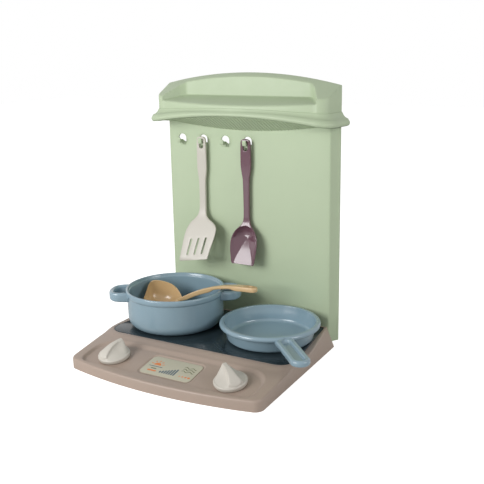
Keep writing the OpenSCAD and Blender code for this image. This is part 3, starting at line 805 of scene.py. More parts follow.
def arch_hole(x):
    """A hook opening, anticlockwise: round above, square below."""
    top, low, half = HOOK_Z - 7.5, HOOK_Z - 13, 7.5
    flat = [(x - half + 1, low), (x + half - 1, low), (x + half, low + 1)]
    return even(flat + arc(x, top, half, 0, 180, 16) + [(x - half, low + 1)], 3)


def return_section():
    """Section of the right-hand side return: a soft corner, a leaning wall and a rear flange.

    The left one mirrors it.
    """
    outer = [(147.5, 0), (148.6, 0.06), (149.6, 0.35), (150.5, 0.95), (151.2, 1.9), (151.9, 3.2)]
    outer += [(158.2, 14.6), (158.5, 15.0), (159.3, 15.3), (159.7, 15.9), (160.35, 18.6), (160.1, 19.0)]
    inner = [(158.2, 19.0), (157.4, 17.6), (149.6, 4.2), (148.9, 3.1), (148.3, 2.6), (147.5, PANEL_THICK)]
    return outer + inner


def panel_skin():
    """The back panel with its openings, side returns and hooks."""
    skin = Skin()
    outline = [(PANEL_FLAT, PANEL_FOOT), (PANEL_FLAT, NECK_Z), (PANEL_FLAT, PANEL_TOP),
               (-PANEL_FLAT, PANEL_TOP), (-PANEL_FLAT, NECK_Z), (-PANEL_FLAT, PANEL_FOOT)]
    holes = [arch_hole(x) for x in HOOK_X]
    screws = [(x, SCREW_Z) for x in SCREW_X] + [(x, HOOD_SCREW_Z) for x in HOOD_SCREW_X]
    holes += [oval(x, z, SCREW_HOLE_R, SCREW_HOLE_R, 16) for x, z in screws]
    skin.plate(even(outline, 14), holes, lambda x, z, d: (x, d, z), lambda x, z: PANEL_THICK, 0.12, 16, 0.45)
    section = return_section()
    for side in (-1, 1):
        skin.loft([[(side * x, y, z) for x, y in section]
                   for z in (PANEL_FOOT, PANEL_FOOT + 1, 120, 240, NECK_Z)])
    for x in HOOK_X:
        hook(skin, x)
    return skin


def hook(skin, x):
    """One moulded hook: a block under the opening, a bar through an eye, and a turned-up tip."""
    block = []
    for t in (0, 0.25, 0.5, 0.75, 1):
        e = ease(t)
        w, low, high = mix(15, HOOK_W, e), mix(-18.5, -17.6, t), mix(-13.0, -8.7, e)
        block.append([(x + a, mix(0.6, -3.75, t), HOOK_Z + (low + high) / 2 + b)
                      for a, b in bar_ring(w, high - low, 0.8)])
    skin.loft(block)
    drop = HOOK_Z - 11.2
    skin.loft([[(x + a, y, drop + b) for a, b in bar_ring(4.3, 4.3, 0.9)] for y in (-3.2, -10.4)])
    tip = through([(-9.35, -14.0), (-10.7, -14.1), (-12.0, -12.9), (-12.9, -9.6), (-13.15, -5.7),
                   (-12.3, -5.0), (-11.3, -5.6), (-10.1, -8.2), (-9.35, -8.9)], 32)
    outline = [(y, HOOK_Z + z) for y, z in tip]
    skin.plate(outline[::-1], [], lambda y, z, d: (x - HOOK_W / 2 + d, y, z), lambda y, z: HOOK_W, 0.6, 9)


# ----------------------------------------------------------------------- hood

HOOD_BACK, HOOD_TOP, ARCH_R = 19.1, 438.7, 709.0
FRONT_R, FRONT_Y, FRONT_HALF = 668.0, -45.0, 137.0
HOOD_SCREW_X, HOOD_SCREW_Z = (-100, 100), 374
FRONT_TURN = math.asin(FRONT_HALF / FRONT_R)
FRONT_CENTRE = FRONT_Y + FRONT_R
# On each side the bowed front takes the first 0.8 of the outline, the corner 0.1 and the flank the rest.
FRONT_SHARE, CORNER_SHARE = 0.8, 0.1
CORNER_X, CORNER_START_Y, CORNER_END_Y, HOOD_HALF = 157.5, -31, -12, 160.4
RECESS_BACK_X, RECESS_BACK_Y, RECESS_END_X, RECESS_TIP_X, RECESS_DEPTH = 109.0, 5.2, 118.9, 140.8, 35
SHELF_Z, SHELF_SAG, SHELF_ROUND, SHELF_RISE, TOP_FALL_DEG, SHELF_FALL_DEG = 401, 3.0, 3.2, 1.6, 25, 9
BRIM_TOP, BRIM_TOP_FALL, BRIM_LOW_MIDDLE, BRIM_LOW_END, BRIM_HALF = 385, 5.6, 372.8, 358.4, 154


def hood_path(t):
    """A point of the hood's outline and its outward direction, for t from -1 at one back corner to 1."""
    u, s = abs(t), (1 if t >= 0 else -1)
    if u <= FRONT_SHARE:
        a = u / FRONT_SHARE * FRONT_TURN
        return s * FRONT_R * math.sin(a), FRONT_CENTRE - FRONT_R * math.cos(a), s * math.sin(a), -math.cos(a)
    if u <= FRONT_SHARE + CORNER_SHARE:
        w = (u - FRONT_SHARE) / CORNER_SHARE
        turn, q = math.radians(12 + 76 * w), math.radians(90 * w)
        y = mix(CORNER_START_Y, CORNER_END_Y, 1 - math.cos(q))
        return s * mix(FRONT_HALF, CORNER_X, math.sin(q)), y, s * math.sin(turn), -math.cos(turn)
    w = (u - FRONT_SHARE - CORNER_SHARE) / (1 - FRONT_SHARE - CORNER_SHARE)
    return s * mix(CORNER_X, HOOD_HALF, w), mix(CORNER_END_Y, HOOD_BACK, w), s, 0.0


def hood_top_z(x, y):
    """The arched upper surface, which falls towards the front."""
    sag = ARCH_R - math.sqrt(ARCH_R * ARCH_R - x * x)
    return HOOD_TOP - sag - (HOOD_BACK - y) * math.tan(math.radians(TOP_FALL_DEG))


def shelf_z(y):
    """The shelf's floor falls gently from its back, and a little more towards the front."""
    front = clamp((RECESS_BACK_Y - y) / 50)
    return SHELF_Z - (RECESS_BACK_Y - y) * math.tan(math.radians(SHELF_FALL_DEG)) - SHELF_SAG * front * front


def recess_line():
    """Plan line of the recess wall from the left tip round the back to the right tip."""
    end = [(mix(RECESS_END_X, RECESS_TIP_X, k / 16), RECESS_BACK_Y - RECESS_DEPTH * k / 16)
           for k in range(4, 17)]
    half = [(RECESS_BACK_X * k / 14, RECESS_BACK_Y) for k in range(14)]
    half += through([(RECESS_BACK_X, RECESS_BACK_Y), (116.5, 3.6), end[0]], 10) + end[1:]
    return mirrored(half)[:-1] + half


def hood_skin():
    """The hood's outer sheet: arched top, recessed shelf and bowed front."""
    skin = Skin()
    tip = hood_tip()
    left_side = [hood_path(-1 + (1 - tip) * k / 24)[:2] for k in range(25)]
    front = [hood_path(tip * (k / 40 - 1))[:2] for k in range(81)]
    right_side = mirrored(left_side)
    wall = recess_line()
    wall[0], wall[-1] = left_side[-1], right_side[0]
    back = [(HOOD_HALF * (1 - k / 20), HOOD_BACK) for k in range(1, 40)]
    n_left, n_wall, n_front = len(left_side), len(wall), len(front)

    # The top: a rounded rim that drops by its radius, and the arch inside it.
    top_loop = left_side + wall[1:-1] + right_side + back
    radius = 1.8
    rim = []
    for k in range(6):
        a = math.radians(18 * k)
        flat = offset(top_loop, radius * (1 - math.sin(a)))
        drop = radius * (1 - math.cos(a))
        rim.append((skin.ring([(x, y, hood_top_z(x, y) - drop) for x, y in flat]), flat))
    skin.bands([ids for ids, _ in rim])
    skin.fill([rim[0]], lambda x, y: (x, y, hood_top_z(x, y)), 7)
    low_ring = rim[-1][0]
    left_ids = low_ring[:n_left]
    wall_ids = low_ring[n_left - 1:n_left - 1 + n_wall]
    right_ids = low_ring[n_left + n_wall - 2:n_left + n_wall - 2 + n_left]

    # The shelf: it rolls down over the front and curves up into the recess wall.
    shelf_loop = front + wall[1:-1][::-1]
    rolls = []
    for k in range(6):
        a = math.radians(18 * k)
        flat = offset(shelf_loop, SHELF_ROUND * (1 - math.sin(a)))
        ring = []
        for i, (x, y) in enumerate(flat):
            rise = SHELF_RISE if i >= n_front else -SHELF_ROUND
            if i in (0, n_front - 1):
                rise = 0
            ring.append((x, y, shelf_z(y) + rise * (1 - math.cos(a))))
        rolls.append((skin.ring(ring), flat))
    skin.bands([ids for ids, _ in rolls])
    skin.fill([rolls[0]], lambda x, y: (x, y, shelf_z(y)), 8)
    edge_ids = rolls[-1][0]
    shelf_wall = ([edge_ids[n_front - 1]] + edge_ids[n_front:] + [edge_ids[0]])[::-1]
    skin.bridge(wall_ids, shelf_wall, closed=False)
    for ids in (left_ids, edge_ids[:n_front], right_ids):
        low = skin.ring([(x, y, brim_heights(x)[1] + 1.0) for x, y, _ in (skin.points[i] for i in ids)])
        skin.bridge(ids, low, closed=False)
    return skin


def hood_tip():
    """Where the recess meets the hood's front, as a place on its outline."""
    quarter = math.asin((RECESS_TIP_X - FRONT_HALF) / (CORNER_X - FRONT_HALF)) / (math.pi / 2)
    return FRONT_SHARE + CORNER_SHARE * quarter


def brim_heights(x):
    """Heights of the brim's top and underside at x, its reach, and the height of its lip."""
    c = clamp(abs(x) / BRIM_HALF)
    low = mix(BRIM_LOW_MIDDLE, BRIM_LOW_END, c * c)
    return BRIM_TOP - BRIM_TOP_FALL * c * c, low, mix(6, 14, c ** 1.5), low + mix(5.0, 8.8, c)


def brim_ring(t):
    """Section of the brim at t on the hood's outline: a small ledge, a hollow flare and a round lip."""
    x, y, nx, ny = hood_path(t)
    top, low, out, tip = brim_heights(x)
    lip = (tip - low) * 0.98
    flare = [(-2.0, top + 0.4), (0.15, top), (1.2, top - 0.2)]
    for k in range(1, 12):
        f = k / 11
        start, middle, end = (1 - f) ** 2, 2 * f * (1 - f), f * f
        flare.append((start * 1.3 + middle * (0.16 * out + 1.3) + end * (out - lip * 0.35),
                      start * (top - 0.2) + middle * mix(top, tip, 0.62) + end * (tip + lip * 0.28)))
    cx, cz = out - lip * 0.52, low + lip * 0.56
    flare += [(cx + lip * 0.52 * math.cos(a), cz + lip * 0.56 * math.sin(a))
              for a in (math.radians(50 - 20 * k) for k in range(8))]
    flare += [(out - 2.6, low), (-2.0, low)]
    return [(x + d * nx, y + d * ny, z) for d, z in flare]


def brim_skin():
    """The brim as a solid along the hood's outline, and the bosses for the hood's two screws."""
    skin = Skin()
    skin.loft([brim_ring(-1 + 2 * k / 240) for k in range(241)])
    for x in HOOD_SCREW_X:
        tube(skin, (x, 0, HOOD_SCREW_Z), (0, -1, 0), BOSS_IN, BOSS_OUT, 0.2, 36)
    return skin


SOFFIT_THICK = 1.9


def soffit_tree(material):
    """Geometry Nodes for the ribbed plate: a grid that follows the hood, with a wave for the ribs."""
    tree = bpy.data.node_groups.new("ribbed_soffit", "GeometryNodeTree")
    face = tree.interface
    for name, value in (("Half width", 0.143), ("Rib pitch", 0.006), ("Rib height", 0.0011),
                        ("Back height", 0.3467), ("Back rise", 0.0113), ("Front height", 0.3714),
                        ("Front fall", 0.0118), ("Front radius", 0.668), ("Front middle", -0.0424)):
        face.new_socket(name, in_out="INPUT", socket_type="NodeSocketFloat").default_value = value
    face.new_socket("Columns", in_out="INPUT", socket_type="NodeSocketInt").default_value = 573
    face.new_socket("Geometry", in_out="OUTPUT", socket_type="NodeSocketGeometry")
    given = add(tree, "NodeGroupInput").outputs
    width = add(tree, "ShaderNodeMath", {0: given["Half width"], 1: 2.0}, operation="MULTIPLY").outputs[0]
    grid = add(tree, "GeometryNodeMeshGrid", {"Size X": width, "Size Y": 1.0, "Vertices X": given["Columns"],
                                              "Vertices Y": 11})
    spot = add(tree, "ShaderNodeSeparateXYZ", {0: add(tree, "GeometryNodeInputPosition").outputs[0]})
    x = spot.outputs["X"]
    along = add(tree, "ShaderNodeMath", {0: 0.5, 1: spot.outputs["Y"]}, operation="SUBTRACT").outputs[0]
    squared = add(tree, "ShaderNodeMath", {0: x, 1: x}, operation="MULTIPLY").outputs[0]

    def bowed(height, change, half, sign):
        share = add(tree, "ShaderNodeMath", {0: squared, 1: sign / half ** 2}, operation="MULTIPLY")
        return add(tree, "ShaderNodeMath", {0: share.outputs[0], 1: change, 2: height},
                   operation="MULTIPLY_ADD").outputs[0]

    back = bowed(given["Back height"], given["Back rise"], 0.137, 1)
    front = bowed(given["Front height"], given["Front fall"], 0.150, -1)
    radius_2 = add(tree, "ShaderNodeMath", {0: given["Front radius"], 1: 2.0}, operation="POWER").outputs[0]
    chord = add(tree, "ShaderNodeMath", {0: radius_2, 1: squared}, operation="SUBTRACT").outputs[0]
    chord = add(tree, "ShaderNodeMath", {0: chord}, operation="SQRT").outputs[0]
    bow = add(tree, "ShaderNodeMath", {0: given["Front radius"], 1: chord}, operation="SUBTRACT").outputs[0]
    depth = add(tree, "ShaderNodeMath", {0: bow, 1: given["Front middle"]}, operation="ADD").outputs[0]
    y = add(tree, "ShaderNodeMath", {0: along, 1: depth}, operation="MULTIPLY").outputs[0]
    y = add(tree, "ShaderNodeMath", {0: y, 1: 0.0001}, operation="SUBTRACT").outputs[0]
    rise = add(tree, "ShaderNodeMath", {0: front, 1: back}, operation="SUBTRACT").outputs[0]
    z = add(tree, "ShaderNodeMath", {0: rise, 1: along, 2: back}, operation="MULTIPLY_ADD").outputs[0]
    phase = add(tree, "ShaderNodeMath", {0: x, 1: given["Rib pitch"]}, operation="DIVIDE").outputs[0]
    phase = add(tree, "ShaderNodeMath", {0: phase, 1: math.tau}, operation="MULTIPLY").outputs[0]
    wave = add(tree, "ShaderNodeMath", {0: phase}, operation="COSINE").outputs[0]
    wave = add(tree, "ShaderNodeMath", {0: wave, 1: 0.0}, operation="MAXIMUM").outputs[0]
    wave = add(tree, "ShaderNodeMath", {0: wave, 1: 0.6}, operation="POWER").outputs[0]
    rib = add(tree, "ShaderNodeMath", {0: wave, 1: given["Rib height"]}, operation="MULTIPLY").outputs[0]
    z = add(tree, "ShaderNodeMath", {0: z, 1: rib}, operation="SUBTRACT").outputs[0]
    target = add(tree, "ShaderNodeCombineXYZ", {"X": x, "Y": y, "Z": z})
    moved = add(tree, "GeometryNodeSetPosition", {"Geometry": grid.outputs["Mesh"],
                                                  "Position": target.outputs[0]})
    real = add(tree, "GeometryNodeRealizeInstances", {"Geometry": moved.outputs[0]})
    painted = add(tree, "GeometryNodeSetMaterial", {"Geometry": real.outputs[0], "Material": material})
    add(tree, "NodeGroupOutput", {"Geometry": painted.outputs[0]})
    return tree


def grown(tree, values):
    """The mesh that a Geometry Nodes tree makes with the given inputs."""
    carrier = bpy.data.objects.new("carrier", bpy.data.meshes.new("carrier"))
    bpy.context.scene.collection.objects.link(carrier)
    step = carrier.modifiers.new("nodes", "NODES")
    step.node_group = tree
    sockets = {s.name: s.identifier for s in tree.interface.items_tree if s.in_out == "INPUT"}
    for name, value in values.items():
        step[sockets[name]] = value
    return settled(carrier)


# ----------------------------------------------------------------- pot and pan

WARE_Z, WARE_WALL = HOB_TOP + 0.3, 2.4
POT_R, POT_H, POT_TURN = 82.0, 62.4, 30.0
PAN_R, PAN_H, PAN_TURN = 79.8, 29.0, -46.2


def pot_skin():
    """The pot, turned from one profile of wall thickness t, and its two handles."""
    skin = Skin()
    r, h, t = POT_R, POT_H, WARE_WALL

    def place(x, y, z):
        return POT_CENTRE[0] + x, POT_CENTRE[1] + y, WARE_Z + z

    profile = [(0, 0.6), (r - 26, 0.6), (r - 25, 0), (r - 20, 0)]
    profile += arc(r - 19.6, 17, 17, -88, 0, 14)[1:]
    profile += [(r - 2.4, 30), (r - 2.2, h - 11.5), (r - 2.0, h - 10.2), (r - 1.5, h - 9.5)]
    profile += [(r - 0.8, h - 8.9), (r - 0.3, h - 7.6), (r, h - 5)] + arc(r - 2.2, h - 2.2, 2.2, 8, 96, 9)
    profile += [(r - 3.0, h - 0.3), (r - 3.7, h - 1.0), (r - 4.1, h - 2.2), (r - 4.3, h - 3.8)]
    profile += [(r - 4.8, h - 4.5), (r - 5.6, h - 5.0), (r - 5.9, h - 6.0), (r - 6.0, h - 12), (r - 5.4, 24)]
    profile += arc(r - 19.6, 17, 17 - t, -4, -88, 12) + [(r - 24, t), (0, t)]
    skin.lathe(profile, place, 176)
    for extra in (0, 180):
        loop_handle(skin, place, POT_TURN + extra)
    return skin


def loop_handle(skin, place, turn):
    """A D-shaped band that stands out of the pot's wall."""
    c, s = math.cos(math.radians(turn)), math.sin(math.radians(turn))
    r, reach, half, depth, height, z = POT_R - 2.4, 30.0, 27.0, 7.6, 14.6, 51.8
    path = []
    for k in range(61):
        a = math.radians((-100 + 200 * k / 60) * 0.9)
        path.append(Vector((r - 4 + (reach - depth / 2 + 4) * max(0.0, math.cos(a)) ** 0.42,
                            (half - depth / 2) * math.sin(a))))
    rings = []
    for k, p in enumerate(path):
        along = (path[min(60, k + 1)] - path[max(0, k - 1)]).normalized()
        across = Vector((along.y, -along.x))
        # The band swells a little towards its roots, so that it grows out of the wall.
        swell = 1 + 0.10 * (abs(k - 30) / 30) ** 3
        ring = []
        for u, w in bar_ring(depth, height * swell, 3.7, 8):
            q = p + across * u
            ring.append(place(q.x * c - q.y * s, q.x * s + q.y * c, z + w))
        rings.append(ring)
    # Only what stands outside the wall's middle is kept.
    skin.loft([ring for ring, p in zip(rings, path) if p.length > POT_R - 5.2])


def pan_skin():
    """The pan, turned from one profile with a rolled rim, and its handle."""
    skin = Skin()
    r, h, t = PAN_R, PAN_H, WARE_WALL

    def place(x, y, z):
        return PAN_CENTRE[0] + x, PAN_CENTRE[1] + y, WARE_Z + z

    profile = [(0, 0.6), (r - 26, 0.6), (r - 25, 0), (r - 19, 0)] + arc(r - 17.6, 7, 7, -82, -15, 8)
    profile += [(r - 8.6, h - 13), (r - 6.6, h - 8.6)] + arc(r - 4.2, h - 4.2, 4.2, -78, 90, 14)
    profile += [(r - 6.4, h - 0.02)] + arc(r - 6.4, h - 1.4, 1.4, 95, 172, 5)
    profile += [(r - 8.3, h - 4), (r - 9.6, h - 9), (r - 12.2, 10.5)] + arc(r - 18.6, 8.6, 6.2, -8, -88, 8)
    profile += [(r - 30, t), (0, t)]
    skin.lathe(profile, place, 176)
    pan_handle(skin, place)
    return skin


def pan_handle(skin, place):
    """Two rounded rails round a sunk channel, swept round the outline, and a web below the root."""
    c, s = math.cos(math.radians(PAN_TURN)), math.sin(math.radians(PAN_TURN))
    half, end, root, top, low = 14.6, 153.4, PAN_R - 5.5, PAN_H - 2.0, PAN_H - 11.5
    # Down one side, round the end and back up the other: places along the handle and the way out from it.
    stations = [(mix(root, end, k / 30), -90) for k in range(31)]
    stations += [(end, -90 + 9 * k) for k in range(1, 20)]
    stations += [(mix(end, root, k / 30), 90) for k in range(31)]
    rings = []
    for x, turn in stations:
        across = Vector((math.cos(math.radians(turn)), math.sin(math.radians(turn))))
        open_at = clamp((x - root - 7) / 5.6)
        sunk = math.sqrt(max(0.0, 1 - (1 - open_at) ** 2))
        floor, gap = top - 5.4 * ease(sunk), max(0.6, 6.2 * sunk)
        rail = (half - gap) / 2
        section = [(0, floor), (gap * 0.7, floor), (gap - 0.4, floor + 0.3), (gap, floor + 1.0)]
        section += [(gap + rail - (rail - 0.1) * math.cos(a), mix(max(floor, top - 3.4), top, math.sin(a)))
                    for a in (math.radians(10 + 16 * k) for k in range(6))]
        section += [(gap + rail + rail * math.sin(a), mix(top - 3.8, top, math.cos(a)))
                    for a in (math.radians(15 * k) for k in range(1, 7))]
        section += [(half, low + 3), (half - 0.5, low + 1.3), (half - 1.8, low + 0.3), (half - 3.4, low)]
        section.append((0, low))
        ring = []
        for w, z in section:
            px, py = x + across.x * w, across.y * w
            ring.append(place(px * c - py * s, px * s + py * c, z))
        rings.append(ring)
    rows = [skin.ring(r) for r in rings]
    for a, b in zip(rows, rows[1:]):
        skin.bridge(a, b, closed=False)
    skin.faces += [tuple(rows[0]), tuple(rows[-1])]
    web = [(root, low + 1), (root + 32, low + 1), (root + 30, low - 0.4), (root, low - 12)]
    skin.loft([[place(x * c - side * s, x * s + side * c, z) for x, z in web]
               for side in (-1.5, -1.2, 1.2, 1.5)])


# ------------------------------------------------------------------- utensils

UTENSIL_Y = -8.6
EYE_Z, EYE_HALF_W, EYE_HALF_H = HOOK_Z - 15.4, 4.0, 7.0
# Each row holds a height, how far forward it hangs, its half width and its thickness.
SPATULA_LINE = [
    (333.9, 0.9, 0.3, 2.0), (333.2, 0.7, 4.4, 2.6), (331.4, 0, 7.3, 3.5), (326, 0, 8.6, 3.8),
    (314, 0, 8.9, 3.8), (292, 0, 9.0, 4.0), (279, 0, 8.9, 4.2),
    (268, 0, 7.5, 4.4), (258, 0, 6.3, 4.6), (236, 0, 6.0, 4.8), (216, -0.6, 6.0, 4.8), (206, -2.0, 6.6, 4.4),
    (199, -4.4, 9.0, 3.8), (194, -6.8, 14, 3.2), (190, -8.8, 19.6, 2.8), (184, -11.8, 25.4, 2.6),
    (176, -15.8, 29.2, 2.5), (164, -21.4, 29.8, 2.4), (146, -29.2, 28.4, 2.3), (131, -35.4, 27.4, 2.2),
    (128.8, -36.3, 27.2, 2.1), (128.1, -36.5, 26.4, 2.0), (128, -36.6, 25.2, 2.0)]
SPOON_LINE = [
    (333.4, 0.9, 0.3, 2.0), (332.7, 0.7, 4.6, 2.6), (330.9, 0, 7.6, 3.5), (326, 0, 9.0, 3.8),
    (312, 0, 9.3, 4.0), (292, 0, 9.4, 4.2), (278, 0, 7.9, 4.4), (266, 0, 5.9, 4.6), (240, 0, 5.3, 4.8),
    (210, 0, 5.2, 5.0), (198, -0.6, 5.9, 4.8), (191, -2.0, 8.6, 4.2), (185, -4.4, 14.4, 3.6),
    (180, -6.6, 18.9, 3.2), (172, -9.0, 23, 2.8), (162, -11.4, 25, 2.4), (150, -13.6, 24.8, 2.4),
    (140, -15, 23.6, 2.4), (132, -16, 22.3, 2.4), (128.4, -16.4, 21.4, 2.4), (126.3, -16.6, 20.4, 2.4),
    (125.7, -16.6, 18.4, 2.4)]
BLADE_SKEW, BLADE_LEAN = 0.16, 4.0
SLOT_PITCH, SLOT_Z, SLOT_HALF_W, SLOT_HALF_H = 14.0, 150.5, 1.75, 13.5
FACET_TOP, FACET_FOOT, BOWL_DEEPEST, ARCH_FOOT, ARCH_HALF, ARCH_RISE = 168.0, 126.0, 15.0, 172, 21.4, 21


def line_outline(line, x):
    """A closed anticlockwise outline of a hanging utensil from its line of half widths."""
    rows = through(line, 110)
    right = [(x + row[2], row[0]) for row in rows]
    return even([(2 * x - u, z) for u, z in right] + right[::-1], 4)


def hanging_eye(x):
    """The eye by which a utensil hangs, anticlockwise."""
    return even(capsule(x, EYE_Z, EYE_HALF_W, EYE_HALF_H), 2)


def spatula_skin():
    """The spatula: a bent strip with its eye and three slots."""
    skin = Skin()
    x = HOOK_X[1]
    rows = through(SPATULA_LINE, 160)

    def place(u, z, d):
        # The blade is skewed: its left corner hangs lower, and its sides lean to the left.
        skewed = ease((204 - z) / 30)
        lean = BLADE_LEAN * skewed * ease((z - 120) / 56)
        low = z + BLADE_SKEW * (u - x) * skewed
        return u + lean, UTENSIL_Y + look_up(rows, low)[1] + d, low

    slots = [even(capsule(x + SLOT_PITCH * k, SLOT_Z, SLOT_HALF_W, SLOT_HALF_H), 4) for k in (-1, 0, 1)]
    skin.plate(line_outline(SPATULA_LINE, x), [hanging_eye(x)] + slots, place,
               lambda u, z: look_up(rows, z)[3], 0.8, 5, 0.5)
    return skin


def spoon_dish(u, z, half):
    """How deep the spoon's bowl lies behind its rim: a round pocket over a flat facet down to its lip."""
    side = min(1.0, abs(u) / (half if z < ARCH_FOOT else ARCH_HALF))
    above = clamp((z - FACET_TOP) / ARCH_RISE)
    pocket = BOWL_DEEPEST * max(0.0, 1 - (side * side + above * above) ** 1.3) ** 0.8
    up_facet = clamp((z - FACET_FOOT) / (FACET_TOP - FACET_FOOT))
    facet_half = 0.93 * clamp((FACET_TOP - z) / (FACET_TOP - FACET_FOOT))
    wall = clamp((side - facet_half) / (1 - facet_half))
    facet = mix(1.4, BOWL_DEEPEST, up_facet) * (1 - wall) ** 0.72
    return mix(pocket, facet, ease((FACET_TOP + 4 - z) / 9))


def spoon_skin():
    """The spoon: a bent strip with its eye, pressed back into a bowl inside a 1.6 mm rim."""
    skin = Skin()
    x = HOOK_X[3]
    rows = through(SPOON_LINE, 160)

    def place(u, z, d):
        row = look_up(rows, z)
        return u, UTENSIL_Y + row[1] + spoon_dish(u - x, z, max(1.0, row[2] - 1.6)) + d, z

    skin.plate(line_outline(SPOON_LINE, x), [hanging_eye(x)], place, lambda u, z: look_up(rows, z)[3],
               0.9, 1.3, 0.9)
    return skin


LADLE_ROOT = Vector((-90, -66, 60))
LADLE_RISE, LADLE_END = Vector((-28, -69, 105.4)), Vector((60, -76, 105.5))
HANDLE_LEN, HANDLE_THICK, HANDLE_SWELL, RIM_CROSSING = 168.0, 5.2, 3.0, 101
# The bowl runs from the root along A. N stands on its rim's plane, and W points across it.
BOWL_A = Vector((-0.865, -0.428, 0.262)).normalized()
BOWL_N = Vector((0.451, -0.436, 0.782)).normalized()
BOWL_W = BOWL_N.cross(BOWL_A)
# Each row holds a distance from the root, a half width, a wall thickness and a depth.
BOWL_LINE = [
    (1.5, 5.5, 3.2, 0.6), (3, 7.5, 3.4, 1), (8, 14, 3.0, 5), (15, 21.6, 2.6, 13), (24, 27.6, 2.4, 20),
    (34, 30, 2.4, 24), (44, 30.2, 2.4, 24), (53, 29, 2.4, 21), (59, 26.6, 2.3, 15), (62.6, 23, 2.2, 8.6),
    (64.4, 17.6, 2.1, 4), (65, 12, 2.0, 2.0)]


def ladle_bowl():
    """Rings across the bowl, each up its inside and down its outside."""
    rings = []
    for s, half, thick, deep in through(BOWL_LINE, 64):
        lip = min(2.0, half * 0.3)
        inner, outer = [(0.5 - half, -0.1)], []
        for k in range(41):
            u = math.sin(math.radians(-90 + 4.5 * k))
            d = max(0.0, deep) * (1 - abs(u) ** 2.6)
            inner.append(((half - lip) * u, d))
            outer.append((half * u, d + (0.5 if k in (0, 40) else thick)))
        inner.append((half - 0.5, -0.1))
        rings.append([LADLE_ROOT + BOWL_A * s + BOWL_W * w - BOWL_N * d for w, d in inner + outer[::-1]])
    return rings


def ladle_skin():
    """The ladle: a bowl, and a handle that climbs over the pot's rim on a quadratic curve."""
    skin = Skin()
    skin.loft(ladle_bowl())
    first = LADLE_ROOT + BOWL_A * 6

    def place(u, v, d):
        t = clamp(u / HANDLE_LEN)
        centre = first * (1 - t) ** 2 + LADLE_RISE * 2 * t * (1 - t) + LADLE_END * t * t
        along = ((LADLE_RISE - first) * (1 - t) + (LADLE_END - LADLE_RISE) * t).normalized()
        side = Vector((0, 0, 1)).cross(along).normalized()
        up = along.cross(side)
        return tuple(centre + side * v + up * (HANDLE_THICK / 2 - d) + along * (u - t * HANDLE_LEN))

    def thick(u, v):
        """The handle is thinner at its root, and where it crosses the pot's rim."""
        return HANDLE_THICK + HANDLE_SWELL * ease((abs(u - RIM_CROSSING) - 15) / 16) * ease(u / 20)

    half = through([(0, 4.2), (12, 4.6), (50, 4.8), (80, 5.0), (110, 6.4), (132, 7.4), (150, 7.6),
                    (160, 7.4)], 60)
    outline = [(u, -w) for u, w in half] + arc(160.4, 0, 7.3, -80, 80, 14)
    outline += [(u, w) for u, w in reversed(half)]
    skin.plate(even(outline, 3), [oval(155.5, 0, 4.2, 2.5, 28)], place, thick, 2.2, 4, 0.5)
    return skin


# ------------------------------------------------------------------ operators


def sizes(context):
    return context.scene.play_hob_sizes


class MakeBase(bpy.types.Operator):
    """Makes the base moulding with its basin, label recess, bosses and ribs"""
    bl_idname = "play_hob.base"
    bl_label = "Base"

    def execute(self, context):
        s = sizes(context)
        make(base_skin(s.front_round), "base_moulding", finish("base"), "frame", "taupe_shell",
             ("base_shell",), 34, upward=1, wall=s.wall)
        make(base_fittings(), "base_bosses_and_ribs", finish("base"), "frame", "taupe_shell")
        return {"FINISHED"}


class MakeHob(bpy.types.Operator):
    """Makes the glossy hob plate with its rounded edge"""
    bl_idname = "play_hob.hob"
    bl_label = "Hob plate"

    def execute(self, context):
        make(hob_skin(sizes(context).hob_edge), "hob_plate_gloss", finish("hob"), "frame", "hob_gloss",
             ("hob_plate",))
        return {"FINISHED"}


class MakeLabel(bpy.types.Operator):
    """Makes the label and its generic print"""
    bl_idname = "play_hob.label"
    bl_label = "Control label"

    def execute(self, context):
        make(label_skin(), "label_film", finish("label"), "frame", "label_print", ("control_label",))
        for ink, shapes in label_prints().items():
            make(print_skin(shapes), "label_" + ink, finish(ink), "frame", "label_print")
        return {"FINISHED"}


class MakeKnobs(bpy.types.Operator):
    """Makes both knobs with their raised fins and stems"""
    bl_idname = "play_hob.knobs"
    bl_label = "Knobs"

    def execute(self, context):
        s = sizes(context)
        for name, side, turn in (("knob_left", -1, s.turn_left), ("knob_right", 1, s.turn_right)):
            make(knob_skin(side, turn), name + "_moulding", finish("knob"), name, "knob_white", (name,), 50)
        return {"FINISHED"}


class FinishFasteners(bpy.types.Operator):
    """Gives the CAD screws and washers their zinc-plated steel"""
    bl_idname = "play_hob.fasteners"
    bl_label = "Screws and washers"

    def execute(self, context):
        for name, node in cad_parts.items():
            if "screw" in name or "washer" in name:
                node.data.materials.clear()
                node.data.materials.append(finish("steel"))
        return {"FINISHED"}


class MakePanel(bpy.types.Operator):
    """Makes the back panel with its side returns, openings and hooks"""
    bl_idname = "play_hob.panel"
    bl_label = "Back panel"

    def execute(self, context):
        make(panel_skin(), "back_panel_moulding", finish("green"), "frame", "green_panel",
             ("back_panel",), 44)
        return {"FINISHED"}


class MakeHood(bpy.types.Operator):
    """Makes the hood with its shelf and brim"""
    bl_idname = "play_hob.hood"
    bl_label = "Hood"

    def execute(self, context):
        make(hood_skin(), "hood_moulding", finish("green"), "frame", "green_panel", ("hood_shell",), 40,
             upward=1, wall=sizes(context).wall)
        make(brim_skin(), "hood_brim", finish("green"), "frame", "green_panel", (), 50)
        return {"FINISHED"}


